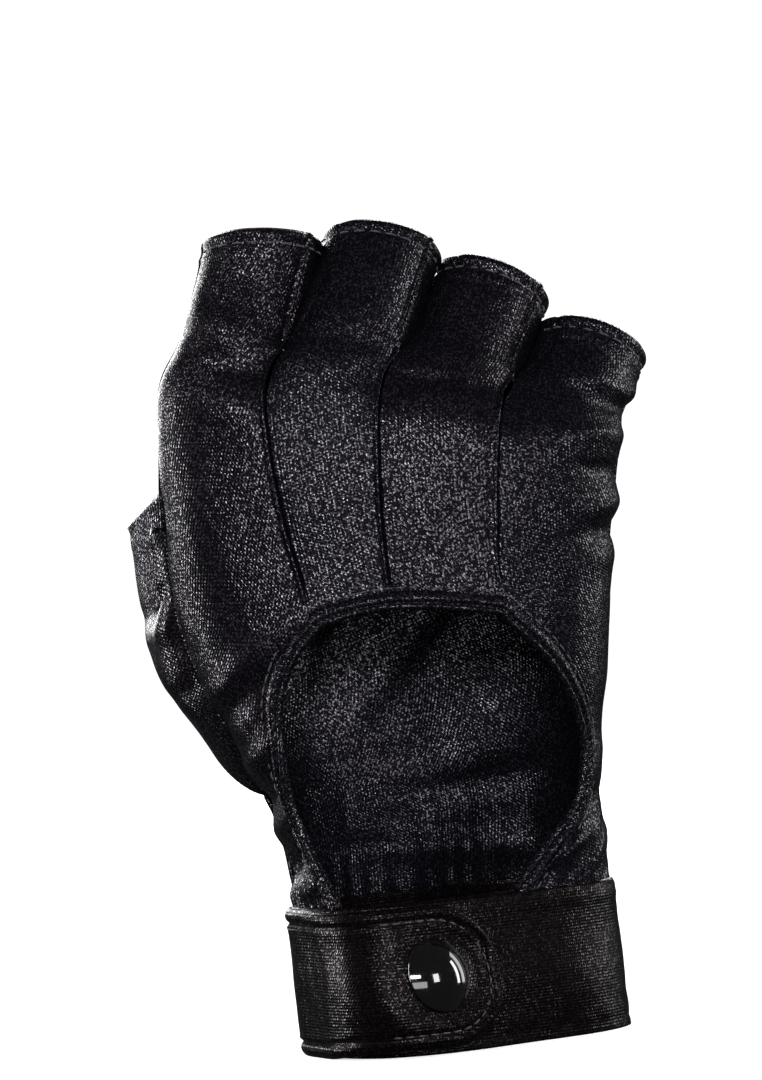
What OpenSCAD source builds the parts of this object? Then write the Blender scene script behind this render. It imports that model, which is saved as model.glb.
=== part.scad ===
// Fingerless dress glove for a right hand, shaped as worn, with an open back and a snapped wrist tab.
// Millimetres. The origin is the centre of the wrist opening, +Z runs along the forearm to the fingers,
// +X points to the little finger and -Y is the back of the hand.
// A point of the cloth is named by a section angle (0 back, 90 little finger side, 180 palm, 270 thumb
// side), by a height along the hand, and by how far it stands out from the skin.

/* [Hand] */
// Height of the knuckles above the wrist edge
hand_h = 100; // [80:1:125]
// Breadth of the glove across the knuckles, inside
palm_w = 77.5; // [65:0.5:95]
// Breadth of the wrist, inside
wrist_w = 52; // [44:0.5:62]
// Depth of the wrist, inside
wrist_d = 34; // [30:0.5:40]
// Depth of the hand at the knuckles, inside
palm_d = 28; // [24:0.5:34]
// Inside radius of the finger openings
finger_r = 9; // [7.5:0.1:9.3]
// Length of the index finger's sleeve above the finger crotch
finger_len = 25; // [16:0.5:36]
// Inside radius of the thumb opening
thumb_r = 10.6; // [9:0.1:13]

/* [Cloth] */
// Thickness of the doubled body cloth
cloth_t = 0.9; // [0.5:0.05:1.1]
// Width of the rolled binding round the back opening
binding_w = 2.6; // [1.6:0.1:3.4]
// How far the binding stands above the cloth
binding_rise = 0.7; // [0.3:0.05:1.4]
// Distance of the hem stitching from the hem
hem_h = 4; // [3:0.5:6]

/* [Cuff] */
// Height of the wrist cuff
cuff_h = 25; // [18:0.5:29]
// Thickness of the cuff, two layers of cloth and the interfacing
cuff_t = 1.4; // [1.2:0.1:2]
// Thickness of the stiff interfacing inside the cuff and the tab
interfacing_t = 0.5; // [0.3:0.05:0.6]
// Height of the wrist tab
tab_h = 23.5; // [16:0.5:26]
// Distance of the snap from the round end of the tab
snap_inset = 12; // [9:0.5:14]
// Distance of the tab stitching from its edge
tab_stitch_inset = 2.5; // [1.5:0.1:4]

/* [Snap] */
// Diameter of the snap cap
cap_d = 12.5; // [10:0.1:14]
// Height of the cap's dome
cap_h = 3.2; // [2:0.1:4]
// Diameter of the socket ring
socket_d = 9.4; // [8.4:0.1:11]
// Diameter of the stud's nipple
stud_d = 4; // [3.6:0.1:4.4]
// Height of the stud's nipple
stud_h = 1.4; // [1:0.1:1.6]
// Clearance all round between the nipple and the socket
stud_clearance = 0.8; // [0.6:0.05:1]
// Diameter of the stud's and the post's flanges
flange_d = 8.6; // [7.6:0.1:9.4]

/* [Stitches] */
// Thickness of the sewing thread
thread_d = 0.4; // [0.3:0.05:0.5]
// Length of one stitch
stitch_l = 2.2; // [1.6:0.1:2.8]

/* [Hidden] */
tiny = 0.01;

// ---- Shape of the hand -------------------------------------------------------------------------
// Each row is [height in hundredths of hand_h, value]; a smooth curve passes through the rows.
width_share = [[0, 0], [25, 0], [38, 0.06], [50, 0.28], [62, 0.58], [74, 0.78], [88, 0.88],
               [100, 0.94], [112, 1], [126, 1]];
centre_shift = [[0, 0], [25, -1.3], [38, -2.3], [50, -4], [62, -6], [74, -7.2], [88, -7.2],
                [100, -6.4], [112, -4.4], [126, -2]];
back_depth = [[0, 1], [25, 0.97], [50, 1.03], [74, 1.1], [100, 1.07], [112, 0.96], [126, 0.82]];
palm_depth = [[0, 1], [25, 1], [50, 1.13], [74, 1.14], [100, 0.93], [126, 0.64]];
twist = [[0, 32], [25, 30], [40, 20], [60, 9], [80, 5], [126, 4]];
squareness = [[0, 3], [25, 3], [50, 2.6], [90, 2.3], [126, 2.3]];
bend_start = 98;
bend_end = 124;
bend_angle = 26;
knuckle_slant = 0.15;

function key(s) = s / hand_h * 100;
function smooth(x) = let (c = min(max(x, 0), 1)) c * c * (3 - 2 * c);
function mix(a, b, w) = a + (b - a) * w;
function slope(t, i) = let (a = max(i - 1, 0), b = min(i + 1, len(t) - 1))
  (t[b][1] - t[a][1]) / (t[b][0] - t[a][0]);
function seek(t, x, i = 0) = i >= len(t) - 2 || x < t[i + 1][0] ? i : seek(t, x, i + 1);
function curve(t, x) =
  let (i = seek(t, x), h = t[i + 1][0] - t[i][0], w = min(max((x - t[i][0]) / h, 0), 1))
  (1 + 2 * w) * pow(1 - w, 2) * t[i][1] + w * pow(1 - w, 2) * h * slope(t, i)
  + w * w * (3 - 2 * w) * t[i + 1][1] + w * w * (w - 1) * h * slope(t, i + 1);

// The hand bends away past the knuckles along an arc, and its sections turn with it.
function bend(s) = bend_angle * min(max((key(s) - bend_start) / (bend_end - bend_start), 0), 1);
bend_r = (bend_end - bend_start) * hand_h / 100 / (bend_angle * PI / 180);
function spine_y(s) = bend_r * (1 - cos(bend(s))) + max(s - bend_end * hand_h / 100, 0) * sin(bend_angle);
function spine_z(s) = min(s, bend_start * hand_h / 100) + bend_r * sin(bend(s))
  + max(s - bend_end * hand_h / 100, 0) * cos(bend_angle);

function body_point(a, s, out) =
  let (k = key(s), n = curve(squareness, k),
       rho = pow(pow(abs(sin(a)), n) + pow(abs(cos(a)), n), -1 / n),
       half_w = mix(wrist_w, palm_w, curve(width_share, k)) / 2 + out,
       deep = mix(wrist_d, palm_d, smooth(k / 100)) / 2,
       half_d = deep * (cos(a) > 0 ? curve(back_depth, k) : curve(palm_depth, k)) + out,
       x = half_w * rho * sin(a), y = half_d * rho * cos(a), r = curve(twist, k), b = bend(s),
       p = [curve(centre_shift, k) + x * cos(r) + y * sin(r),
            spine_y(s) + (x * sin(r) - y * cos(r)) * cos(b),
            spine_z(s) - (x * sin(r) - y * cos(r)) * sin(b)])
  [p[0], p[1], p[2] - knuckle_slant * (p[0] + 5) * smooth((k - 70) / 40)];

// ---- Fingers: index, middle, ring, little --------------------------------------------------------
root_x = [-0.82, -0.36, 0.12, 0.63];
root_y = [-2.2, -4, 1.6, 5.5];
root_z = [14.7, 14.8, 9.8, 4];
lean = [18, 24, 28, 25];
flex = [12, 26, 24, 26];
sleeve_share = [1, 1.02, 0.9, 0.62];
girth_share = [0.99, 1.02, 0.98, 0.93];
hem_slant = [2.2, 1.8, 0.6, 0.5];
crotch = 118 * hand_h / 100;
arc = 50;

function sleeve_len(k) = finger_len * sleeve_share[k];
function finger_dir(k) = [sin(lean[k]) * cos(flex[k]), sin(flex[k]), cos(lean[k]) * cos(flex[k])];
function unit(v) = v / norm(v);
function finger_back(k) = let (d = finger_dir(k)) unit([0, -1, 0] + d[1] * d);
function finger_side(k) = let (x = cross(finger_back(k), finger_dir(k))) x[0] < 0 ? -x : x;
function finger_root(k) = [root_x[k] * palm_w / 2, root_y[k], root_z[k] + hand_h];
function finger_point(k, b, s, out) =
  let (fuller = 1 - smooth((s - crotch) / sleeve_len(k)),
       rx = finger_r * girth_share[k] * (1 + 0.03 * fuller) + out,
       ry = finger_r * girth_share[k] * (0.97 + 0.06 * fuller) + out)
  finger_root(k) + (s - crotch) * finger_dir(k) + rx * sin(b) * finger_side(k)
  + ry * cos(b) * finger_back(k);
function hem_s(k, b) = crotch + sleeve_len(k) + hem_slant[k] * sin(b);

// Seam lines as section angles: the thumb side seam, the three back seams, the little finger side seam.
seam = [
  [[24, -120], [42, -116], [58, -98], [80, -90], [126, -90]],
  [[24, -73], [31, -79], [41, -76.5], [54, -55], [62, -44], [70, -32], [74, -25], [88, -28],
   [100, -31], [110, -33], [126, -34]],
  [[74, -3], [108, -4], [126, -4]],
  [[24, 7], [31, 24], [39, 44], [49, 52], [57, 48.5], [66, 38.5], [74, 27], [90, 26], [108, 26], [126, 27]],
  [[24, 76], [50, 86], [80, 90], [126, 90]]
];
palm_line = [seam[0], [[24, 215], [126, 213]], [[24, 182], [126, 183]], [[24, 150], [126, 157]], seam[4]];
back_arc = [[-90, arc], [-arc, arc], [-arc, arc], [-arc, 90]];
palm_arc = [[270, 180 - arc], [180 + arc, 180 - arc], [180 + arc, 180 - arc], [180 + arc, 90]];

// The thumb hole opens the thumb side seam into a lens on the palm side.
thumb_lo = 44 * hand_h / 100;
thumb_hi = 88 * hand_h / 100;
thumb_gape = 50;
function gape(s) = let (x = (s - thumb_lo) / (thumb_hi - thumb_lo))
  x <= 0 || x >= 1 ? 0 : thumb_gape * pow(sin(180 * x), 0.8);

function line_angle(back, i, s) = back ? curve(seam[i], key(s))
  : curve(palm_line[i], key(s)) + (i == 0 ? 360 - gape(s) : 0);
function strip_raw(back, k, u, s, out) =
  let (a = mix(line_angle(back, k, s), line_angle(back, k + 1, s), u),
       e = back ? back_arc[k] : palm_arc[k], m = smooth((key(s) - 100) / 26),
       p = m < 1 ? body_point(a, s, out) : [0, 0, 0])
  m <= 0 ? p : mix(p, finger_point(k, mix(e[0], e[1], u), s, out), m);
// Neighbouring strips share their seam below the crotch and part above it.
part_len = 6;
function join(s) = 0.5 * (1 - smooth((s - crotch) / part_len));
function strip_point(back, k, u, s, out) =
  let (j = join(s), own = strip_raw(back, k, u, s, out), near = key(s) > 99 && j > 0,
       lo = near && k > 0 && u < 1
         ? strip_raw(back, k - 1, 1, s, out) - strip_raw(back, k, 0, s, out) : [0, 0, 0],
       hi = near && k < 3 && u > 0
         ? strip_raw(back, k + 1, 0, s, out) - strip_raw(back, k, 1, s, out) : [0, 0, 0])
  own + pow(1 - u, 2) * j * lo + u * u * j * hi;

// Rows of the cloth grids. The seam corner of the back opening and the thumb hole's ends are rows.
opening_top = 74 * hand_h / 100;
arch_rise = 2.4;
wrist_rows = 4;
strap_rows = 8;
back_rows = 4;
knuckle_rows = 6;
sleeve_rows = 7;
stations = concat(
  [for (i = [0:wrist_rows - 1]) mix(cuff_h, thumb_lo, i / wrist_rows)],
  [for (i = [0:strap_rows - 1]) mix(thumb_lo, opening_top, i / strap_rows)],
  [for (i = [0:back_rows - 1]) mix(opening_top, thumb_hi, i / back_rows)],
  [for (i = [0:knuckle_rows]) mix(thumb_hi, crotch, i / knuckle_rows)]);
corner_row = wrist_rows + strap_rows;
thumb_row = wrist_rows;
thumb_end_row = corner_row + back_rows;
crotch_row = len(stations) - 1;

// A closed solid between an outer and an inner grid of rows by columns, walled along its edges.
// Columns run to the right when the outer face is looked at with the rows rising.
module sheet(outer, inner, ring = false) {
  r = len(outer);
  c = len(outer[0]);
  n = r * c;
  last = ring ? c - 1 : c - 2;
  points = concat([for (row = outer) each row], [for (row = inner) each row]);
  faces = [
    for (i = [0:r - 2], j = [0:last])
      let (k = (j + 1) % c, a = i * c + j, b = i * c + k, d = a + c, e = b + c)
      each [[a, d, e], [a, e, b], [n + a, n + e, n + d], [n + a, n + b, n + e]],
    for (j = [0:last])
      let (k = (j + 1) % c, a = j, b = k, d = (r - 1) * c + j, e = (r - 1) * c + k)
      each [[a, b, n + b], [a, n + b, n + a], [d, n + e, e], [d, n + d, n + e]],
    if (!ring) for (i = [0:r - 2])
      let (a = i * c, b = a + c, d = a + c - 1, e = d + c)
      each [[a, n + a, n + b], [a, n + b, b], [d, n + e, n + d], [d, e, n + e]]
  ];
  polyhedron(points = points, faces = faces, convexity = 8);
}

// ---- Back panels -----------------------------------------------------------------------------------
side_columns = 6;
inner_columns = 4;
// Height of row i at column share u: the two inner panels start on the arch of the opening.
function arch(k, u) = k == 1 ? arch_rise * sin(90 * u) : k == 2 ? arch_rise * cos(90 * u) : 0;
function lift(s, rise) = s + rise * (crotch - s) / (crotch - opening_top);
function sleeve_s(back, k, u, v) = let (e = back ? back_arc[k] : palm_arc[k])
  mix(crotch, hem_s(k, mix(e[0], e[1], u)), v);
function panel_rows(k, first, cols, out) = concat(
  [for (i = [first:crotch_row]) [for (j = [0:cols]) let (u = j / cols, s = stations[i])
    strip_point(true, k, u, lift(s, arch(k, u)), out)]],
  [for (i = [1:sleeve_rows]) [for (j = [0:cols]) let (u = j / cols)
    strip_point(true, k, u, sleeve_s(true, k, u, i / sleeve_rows), out)]]);
module back_panel(k, first, cols)
  sheet(panel_rows(k, first, cols, cloth_t), panel_rows(k, first, cols, 0));

module index_back_panel() { color("#17151b") back_panel(0, 0, side_columns); }
module middle_back_panel() { color("#1b1920") back_panel(1, corner_row, inner_columns); }
module ring_back_panel() { color("#17151b") back_panel(2, corner_row, inner_columns); }
module little_back_panel() { color("#1b1920") back_panel(3, 0, side_columns); }

// ---- Palm panel --------------------------------------------------------------------------------------
// One cut piece: four strips joined below the crotch, so only the finger parts have inner walls.
strip_columns = [side_columns, inner_columns, inner_columns, side_columns];
function total(list, n) = n <= 0 ? 0 : list[n - 1] + total(list, n - 1);
strip_start = [for (k = [0:3]) total(strip_columns, k)];
palm_columns = total(strip_columns, 4) + 1;
function palm_row(s, out) = concat(
  [for (k = [0:3]) each [for (j = [0:strip_columns[k] - 1]) strip_point(false, k, j / strip_columns[k], s, out)]],
  [strip_point(false, 3, 1, s, out)]);
function palm_sleeve_row(k, i, out) = [for (j = [0:strip_columns[k]]) let (u = j / strip_columns[k])
  strip_point(false, k, u, sleeve_s(false, k, u, i / sleeve_rows), out)];
function palm_points(out) = concat(
  [for (s = stations) each palm_row(s, out)],
  [for (k = [0:3], i = [1:sleeve_rows]) each palm_sleeve_row(k, i, out)]);
sleeve_offset = [for (k = [0:4]) len(stations) * palm_columns + sleeve_rows * (total(strip_columns, k) + k)];
function palm_index(k, i, j) = i == 0 ? crotch_row * palm_columns + strip_start[k] + j
  : sleeve_offset[k] + (i - 1) * (strip_columns[k] + 1) + j;
module palm_panel() {
  n = sleeve_offset[4];
  c = palm_columns;
  // The columns run to the left when the palm is seen from outside, so its inner points come first.
  faces = [
    for (i = [0:crotch_row - 1], j = [0:c - 2])
      let (a = i * c + j, b = a + 1, d = a + c, e = d + 1)
      each [[a, d, e], [a, e, b], [n + a, n + e, n + d], [n + a, n + b, n + e]],
    for (k = [0:3], i = [0:sleeve_rows - 1], j = [0:strip_columns[k] - 1])
      let (a = palm_index(k, i, j), b = palm_index(k, i, j + 1), d = palm_index(k, i + 1, j),
           e = palm_index(k, i + 1, j + 1))
      each [[a, d, e], [a, e, b], [n + a, n + e, n + d], [n + a, n + b, n + e]],
    for (k = [0:3], j = [0:strip_columns[k] - 1])
      let (d = palm_index(k, sleeve_rows, j), e = palm_index(k, sleeve_rows, j + 1))
      each [[d, n + e, e], [d, n + d, n + e]],
    for (k = [0:3], i = [0:sleeve_rows - 1])
      let (a = palm_index(k, i, 0), b = palm_index(k, i + 1, 0),
           d = palm_index(k, i, strip_columns[k]), e = palm_index(k, i + 1, strip_columns[k]))
      each [[a, n + a, n + b], [a, n + b, b], [d, n + e, n + d], [d, e, n + e]],
    for (j = [0:c - 2]) each [[j, j + 1, n + j + 1], [j, n + j + 1, n + j]],
    for (i = [0:crotch_row - 1])
      let (a = i * c, b = a + c, d = a + c - 1, e = d + c)
      each [[a, n + a, n + b], [a, n + b, b], [d, n + e, n + d], [d, e, n + e]]
  ];
  color("#141217") polyhedron(points = concat(palm_points(0), palm_points(cloth_t)), faces = faces,
                              convexity = 10);
}

// ---- Fourchettes ---------------------------------------------------------------------------------------
// A strip that runs down the inner side of one finger, through the crotch and up the next finger.
gusset_columns = 5;
// Its two legs are pressed flat against each other where the fingers leave no room for a round side.
press_gap = 0.5;
function finger_at(k, s) = finger_root(k) + (s - crotch) * finger_dir(k);
function between(f) = unit(finger_side(f) + finger_side(f + 1));
function room(f, s) = (finger_at(f + 1, s) - finger_at(f, s)) * between(f) / 2 - cloth_t - press_gap;
function pressed(k, b, s, out, f) =
  let (p = finger_point(k, b, s, out), side = finger_side(k), x = (p - finger_at(k, s)) * side,
       limit = room(f, s) + out)
  p + (min(max(x, -limit), limit) - x) * side;
function gusset_side(k, right, w, s, out) =
  let (b = mix(arc, 180 - arc, w), f = right ? k : k - 1, own = pressed(k, right ? b : -b, s, out, f),
       other = pressed(right ? k + 1 : k - 1, right ? -b : b, s, out, f))
  own + join(s) * (other - own);
function gusset_point(k, right, w, v, out) =
  let (f = right ? k : k - 1, s_back = sleeve_s(true, k, right ? 1 : 0, v),
       s_palm = sleeve_s(false, k, right ? 1 : 0, v),
       s = mix(s_back, s_palm, w), e = right ? 1 : 0,
       back = strip_point(true, k, e, s_back, out) - gusset_side(k, right, 0, s_back, out),
       palm = strip_point(false, k, e, s_palm, out) - gusset_side(k, right, 1, s_palm, out),
       web = pow(2 * join(s), 2) * out * sqrt(max(4 * w * (1 - w), 0)),
       lie = (finger_dir(f) + finger_dir(f + 1)) / 2)
  gusset_side(k, right, w, s, out) + pow(1 - w, 2) * back + w * w * palm + web * lie;
function gusset_rows(k, out) = concat(
  [for (i = [0:sleeve_rows - 1]) [for (j = [0:gusset_columns])
    gusset_point(k, true, j / gusset_columns, 1 - i / sleeve_rows, out)]],
  [for (i = [0:sleeve_rows]) [for (j = [0:gusset_columns])
    gusset_point(k + 1, false, j / gusset_columns, i / sleeve_rows, out)]]);
module fourchette(k) sheet(gusset_rows(k, 0), gusset_rows(k, cloth_t));

module index_middle_fourchette() { color("#1f1d26") fourchette(0); }
module middle_ring_fourchette() { color("#1f1d26") fourchette(1); }
module ring_little_fourchette() { color("#1f1d26") fourchette(2); }

// ---- Thumb sleeve ------------------------------------------------------------------------------------
thumb_rows = 9;
thumb_hem_side = -1.045;
thumb_hem_depth = 22;
thumb_hem_share = 1.01;
thumb_out = [-11, 7, 2];
thumb_in = [1, -3, -24];
thumb_reach = 28;
thumb_shear = 0.75;
thumb_start = 140;
thumb_loop = concat([for (i = [thumb_row:thumb_end_row]) [true, stations[i]]],
                    [for (i = [thumb_end_row - 1:-1:thumb_row + 1]) [false, stations[i]]]);
thumb_columns = len(thumb_loop);
function thumb_base(j, out) = strip_point(thumb_loop[j][0], 0, 0, thumb_loop[j][1], out);
thumb_mid = (thumb_base(thumb_columns / 4, 0) + thumb_base(thumb_columns * 3 / 4, 0)) / 2;
thumb_hem_at = [thumb_hem_side * palm_w / 2, thumb_hem_depth, thumb_hem_share * hand_h];
thumb_path = [thumb_mid, thumb_mid + thumb_out, thumb_hem_at + thumb_in, thumb_hem_at];
function along(p, w) = pow(1 - w, 3) * p[0] + 3 * pow(1 - w, 2) * w * p[1]
  + 3 * (1 - w) * w * w * p[2] + pow(w, 3) * p[3];
// At its base the sleeve's wall is the edge of the hole; one row up it stands square to the hole's outline.
function thumb_square(j) = let (n = thumb_columns)
  unit(cross(thumb_base((j + 1) % n, 0) - thumb_base((j + n - 1) % n, 0), thumb_out));
function thumb_point(j, w, out) =
  let (f = thumb_start + 360 * j / thumb_columns, r = thumb_r + out, e = smooth(w * 1.1),
       ring = [r * cos(f), r * sin(f), thumb_shear * r * cos(f)], g = min(w * thumb_rows, 1),
       base = mix(thumb_base(j, out), thumb_base(j, 0) + out * thumb_square(j), g))
  along(thumb_path, w) + mix(base - thumb_mid, ring, e);
function thumb_grid(out) = [for (i = [0:thumb_rows]) [for (j = [0:thumb_columns - 1])
  thumb_point(j, i / thumb_rows, out)]];
module thumb_sleeve() { color("#141217") sheet(thumb_grid(cloth_t), thumb_grid(0), ring = true); }

// ---- Binding of the back opening -------------------------------------------------------------------
function rail(k, u, i) = let (s = stations[i]) [mix(curve(seam[k], key(s)), curve(seam[k + 1], key(s)), u), s];
function arch_at(k, j) = let (u = j / inner_columns, s = lift(opening_top, arch(k, u)))
  [mix(curve(seam[k], key(s)), curve(seam[k + 1], key(s)), u), s];
outline = concat(
  [for (i = [0:corner_row]) rail(0, 1, i)],
  [for (j = [1:inner_columns]) arch_at(1, j)],
  [for (j = [1:inner_columns]) arch_at(2, j)],
  [for (i = [corner_row - 1:-1:0]) rail(3, 0, i)]);
function mm_per_degree(a, s) = norm(body_point(a + 1, s, 0) - body_point(a - 1, s, 0)) / 2;
function inward(i, w) =
  let (q = outline[i], a = outline[max(i - 1, 0)], b = outline[min(i + 1, len(outline) - 1)],
       m = mm_per_degree(q[0], q[1]), t = unit([(b[0] - a[0]) * m, b[1] - a[1]]),
       edge = i == 0 || i == len(outline) - 1)
  [q[0] + t[1] * w / m, edge ? q[1] : max(q[1] - t[0] * w, cuff_h)];
function binding_at(i, w, out) = let (q = inward(i, w)) body_point(q[0], q[1], out);
binding_crown = [[0, 1], [0.2, 1.6], [0.42, 1.9], [0.5, 1.5], [0.58, 1.9], [0.8, 1.7], [1, 0.9]];
function crown_out(c) = c[1] <= 1 ? cloth_t * c[1] : cloth_t + binding_rise * (c[1] - 1);
module opening_binding() {
  top = [for (i = [0:len(outline) - 1]) [for (c = binding_crown)
    binding_at(i, binding_w * c[0], crown_out(c))]];
  under = [for (i = [0:len(outline) - 1]) [for (c = binding_crown) binding_at(i, binding_w * c[0], 0)]];
  color("#24222c") sheet(top, under);
}

// ---- Cuff ---------------------------------------------------------------------------------------------
hinge_a = -57;
underlap_a = -49;
snap_a = -33;
tab_gap = 0.25;
stack_gap = 1.8;
tab_out = cuff_t + stack_gap;
snap_z = cuff_h / 2 + 0.25;
function cuff_point(a, z, out) = let (p = body_point(a, z, out)) [p[0], p[1], z];
band_columns = 40;
band_from = underlap_a;
band_to = 360 + hinge_a;
function band_grid(out, rim, a0, a1) = [for (z = [rim, cuff_h / 2, cuff_h - rim])
  [for (j = [0:band_columns]) cuff_point(mix(a0, a1, j / band_columns), z, out)]];
module band_solid(lo, hi, rim, a0, a1) sheet(band_grid(hi, rim, a0, a1), band_grid(lo, rim, a0, a1));
inset_t = (cuff_t - interfacing_t) / 2;
module band_core() band_solid(inset_t, cuff_t - inset_t, 1.5, band_from + 3, band_to - 3);

// Snap frame: its +Z is the outward normal of the cuff at the snap, its zero is the cuff's inner face.
snap_p = cuff_point(snap_a, snap_z, 0);
snap_t = cuff_point(snap_a + 1, snap_z, 0) - cuff_point(snap_a - 1, snap_z, 0);
snap_turn = atan2(snap_t[1], snap_t[0]);
module at_snap() translate(snap_p) rotate([90, 0, snap_turn]) children();
module disc(d, lo, hi) translate([0, 0, lo]) cylinder(d = d, h = hi - lo, $fn = 48);

flange_t = 0.7;
hole_clearance = 0.1;
post_d = 2.4;
post_floor = 0.1;
stud_floor = cuff_t - 0.1;
stud_base = stud_floor + 0.5;
socket_lo = stud_base + 0.3;
socket_hi = tab_out + 0.7;
cap_floor = tab_out + cuff_t - 0.2;
recess = 0.3;

module cuff_band() {
  color("#120e10") difference() {
    band_solid(0, cuff_t, 0, band_from, band_to);
    band_core();
    at_snap() disc(flange_d + 2 * recess, -6, post_floor);
    at_snap() disc(post_d + 2 * hole_clearance, -6, 6);
    at_snap() disc(flange_d + 2 * recess, stud_floor, 6);
  }
}
module cuff_interfacing() {
  color("#d8d4cc") difference() {
    band_core();
    at_snap() disc(flange_d + 2 * recess, -6, post_floor);
    at_snap() disc(post_d + 2 * hole_clearance, -6, 6);
    at_snap() disc(flange_d + 2 * recess, stud_floor, 6);
  }
}

// The tab leaves the cuff at the hinge line, rises over the underlap and ends in a half circle.
tab_columns = 18;
tab_mm = norm(cuff_point(snap_a + 1, snap_z, tab_out) - cuff_point(snap_a - 1, snap_z, tab_out)) / 2;
tab_end_a = snap_a + snap_inset / tab_mm;
tab_start_a = hinge_a + tab_gap / tab_mm;
ramp_a = 13;
function tab_rise(a) = tab_out * smooth((a - tab_start_a) / ramp_a);
function tab_half(x, h) = let (r = h / 2) x >= r ? r : sqrt(max(r * r - pow(r - x, 2), 0));
function tab_grid(from, to, h, lo) =
  [for (v = [-1, -0.5, 0, 0.5, 1]) [for (j = [0:tab_columns])
    let (a = mix(from, to, sin(90 * j / tab_columns)), x = (to - a) * tab_mm)
    cuff_point(a, snap_z + v * max(tab_half(x, h), 0.8), tab_rise(a) + lo)]];
module tab_solid(lo, hi, from, to, h) sheet(tab_grid(from, to, h, hi), tab_grid(from, to, h, lo));
module tab_core() tab_solid(inset_t, cuff_t - inset_t, tab_start_a + 3, tab_end_a - 3, tab_h - 3);
module tab_holes() {
  at_snap() disc(socket_d + 2 * recess, -2, socket_hi);
  at_snap() disc(post_d + 2 * hole_clearance, 0, 12);
  at_snap() disc(cap_d + 2 * recess, cap_floor, 12);
}
module cuff_tab() {
  color("#100d0e") difference() {
    tab_solid(0, cuff_t, tab_start_a, tab_end_a, tab_h);
    tab_core();
    tab_holes();
  }
}
module tab_interfacing() {
  color("#d8d4cc") difference() {
    tab_core();
    tab_holes();
  }
}

// ---- Snap ------------------------------------------------------------------------------------------------
cap_rim = 0.6;
dome_r = (pow(cap_d / 2, 2) + pow(cap_h - cap_rim, 2)) / (2 * (cap_h - cap_rim));
module snap_cap() {
  color("#0a0a0c") at_snap() {
    translate([0, 0, cap_floor]) rotate_extrude($fn = 64) polygon(concat(
      [[0, 0], [cap_d / 2 - 0.25, 0], [cap_d / 2, 0.25]],
      [for (i = [0:10]) let (x = cap_d / 2 * (1 - i / 10))
        [x, cap_h - dome_r + sqrt(dome_r * dome_r - x * x)]]));
    disc(post_d, socket_hi - 0.4, cap_floor + tiny);
  }
}
module snap_socket() {
  color("#9a9a9e") at_snap() difference() {
    disc(socket_d, socket_lo, socket_hi);
    disc(stud_d + 2 * stud_clearance, socket_lo - 1, stud_base + stud_h + 0.3);
    disc(post_d, socket_hi - 0.4, socket_hi + 1);
  }
}
module snap_stud() {
  color("#9a9a9e") at_snap() difference() {
    union() {
      disc(flange_d, stud_floor, stud_base);
      disc(stud_d, stud_base - 0.1, stud_base + stud_h);
    }
    disc(post_d, stud_floor - 1, stud_base + 0.3);
  }
}
module snap_post() {
  color("#9a9a9e") at_snap() union() {
    disc(flange_d, post_floor - flange_t, post_floor);
    disc(post_d, post_floor - 0.1, stud_base + 0.3);
  }
}

// ---- Stitching -------------------------------------------------------------------------------------------
// One stitch is a short straight thread lying on the cloth between two of its points.
stitch_gap = 0.35;
stitch_out = cloth_t + thread_d / 2 + stitch_gap;
module stitch(p, q) {
  d = q - p;
  translate((p + q) / 2) rotate([0, acos(d[2] / norm(d)), atan2(d[1], d[0])])
    cylinder(d = thread_d, h = min(stitch_l, norm(d) * 0.8), center = true, $fn = 16);
}
function hem_at(k, a) = let (f = a % 360 < 180 ? k : k - 1, s = hem_s(k, a) - hem_h)
  f < 0 || f > 2 ? finger_point(k, a, s, stitch_out) : pressed(k, a, s, stitch_out, f);
hem_stitches = 18;
thumb_stitches = 22;
module hem_stitching() {
  color("#2c2a32") {
    for (k = [0:3], i = [0:hem_stitches - 1]) {
      a = 360 * i / hem_stitches;
      b = 360 * (i + 1) / hem_stitches;
      stitch(hem_at(k, a), hem_at(k, b));
    }
    for (i = [0:thumb_stitches - 1]) {
      a = 360 * i / thumb_stitches;
      b = 360 * (i + 1) / thumb_stitches;
      stitch(thumb_ring(a), thumb_ring(b));
    }
  }
}
function thumb_ring(a) = let (w = 1 - hem_h / thumb_reach, r = thumb_r + stitch_out)
  along(thumb_path, w) + [r * cos(a), r * sin(a), thumb_shear * r * cos(a)];
module opening_stitching() {
  color("#2c2a32") for (i = [1:len(outline) - 3]) stitch(
    binding_at(i, -1.2, stitch_out), binding_at(i + 1, -1.2, stitch_out));
}
tab_stitches = 22;
function tab_edge(i) =
  let (r = tab_h / 2 - tab_stitch_inset, run = 3, f = mix(-110, 110, i / tab_stitches),
       x = abs(f) > 90 ? -(abs(f) - 90) / 20 * run : r * cos(f),
       z = abs(f) > 90 ? sign(f) * r : r * sin(f), a = tab_end_a - (tab_h / 2 - x) / tab_mm)
  cuff_point(a, snap_z + z, tab_rise(a) + cuff_t + thread_d / 2 + stitch_gap);
module tab_stitching() {
  color("#2c2a32") for (i = [0:tab_stitches - 1]) stitch(tab_edge(i), tab_edge(i + 1));
}

index_back_panel();
middle_back_panel();
ring_back_panel();
little_back_panel();
palm_panel();
index_middle_fourchette();
middle_ring_fourchette();
ring_little_fourchette();
thumb_sleeve();
opening_binding();
cuff_band();
cuff_interfacing();
cuff_tab();
tab_interfacing();
snap_cap();
snap_socket();
snap_stud();
snap_post();
hem_stitching();
opening_stitching();
tab_stitching();
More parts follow.
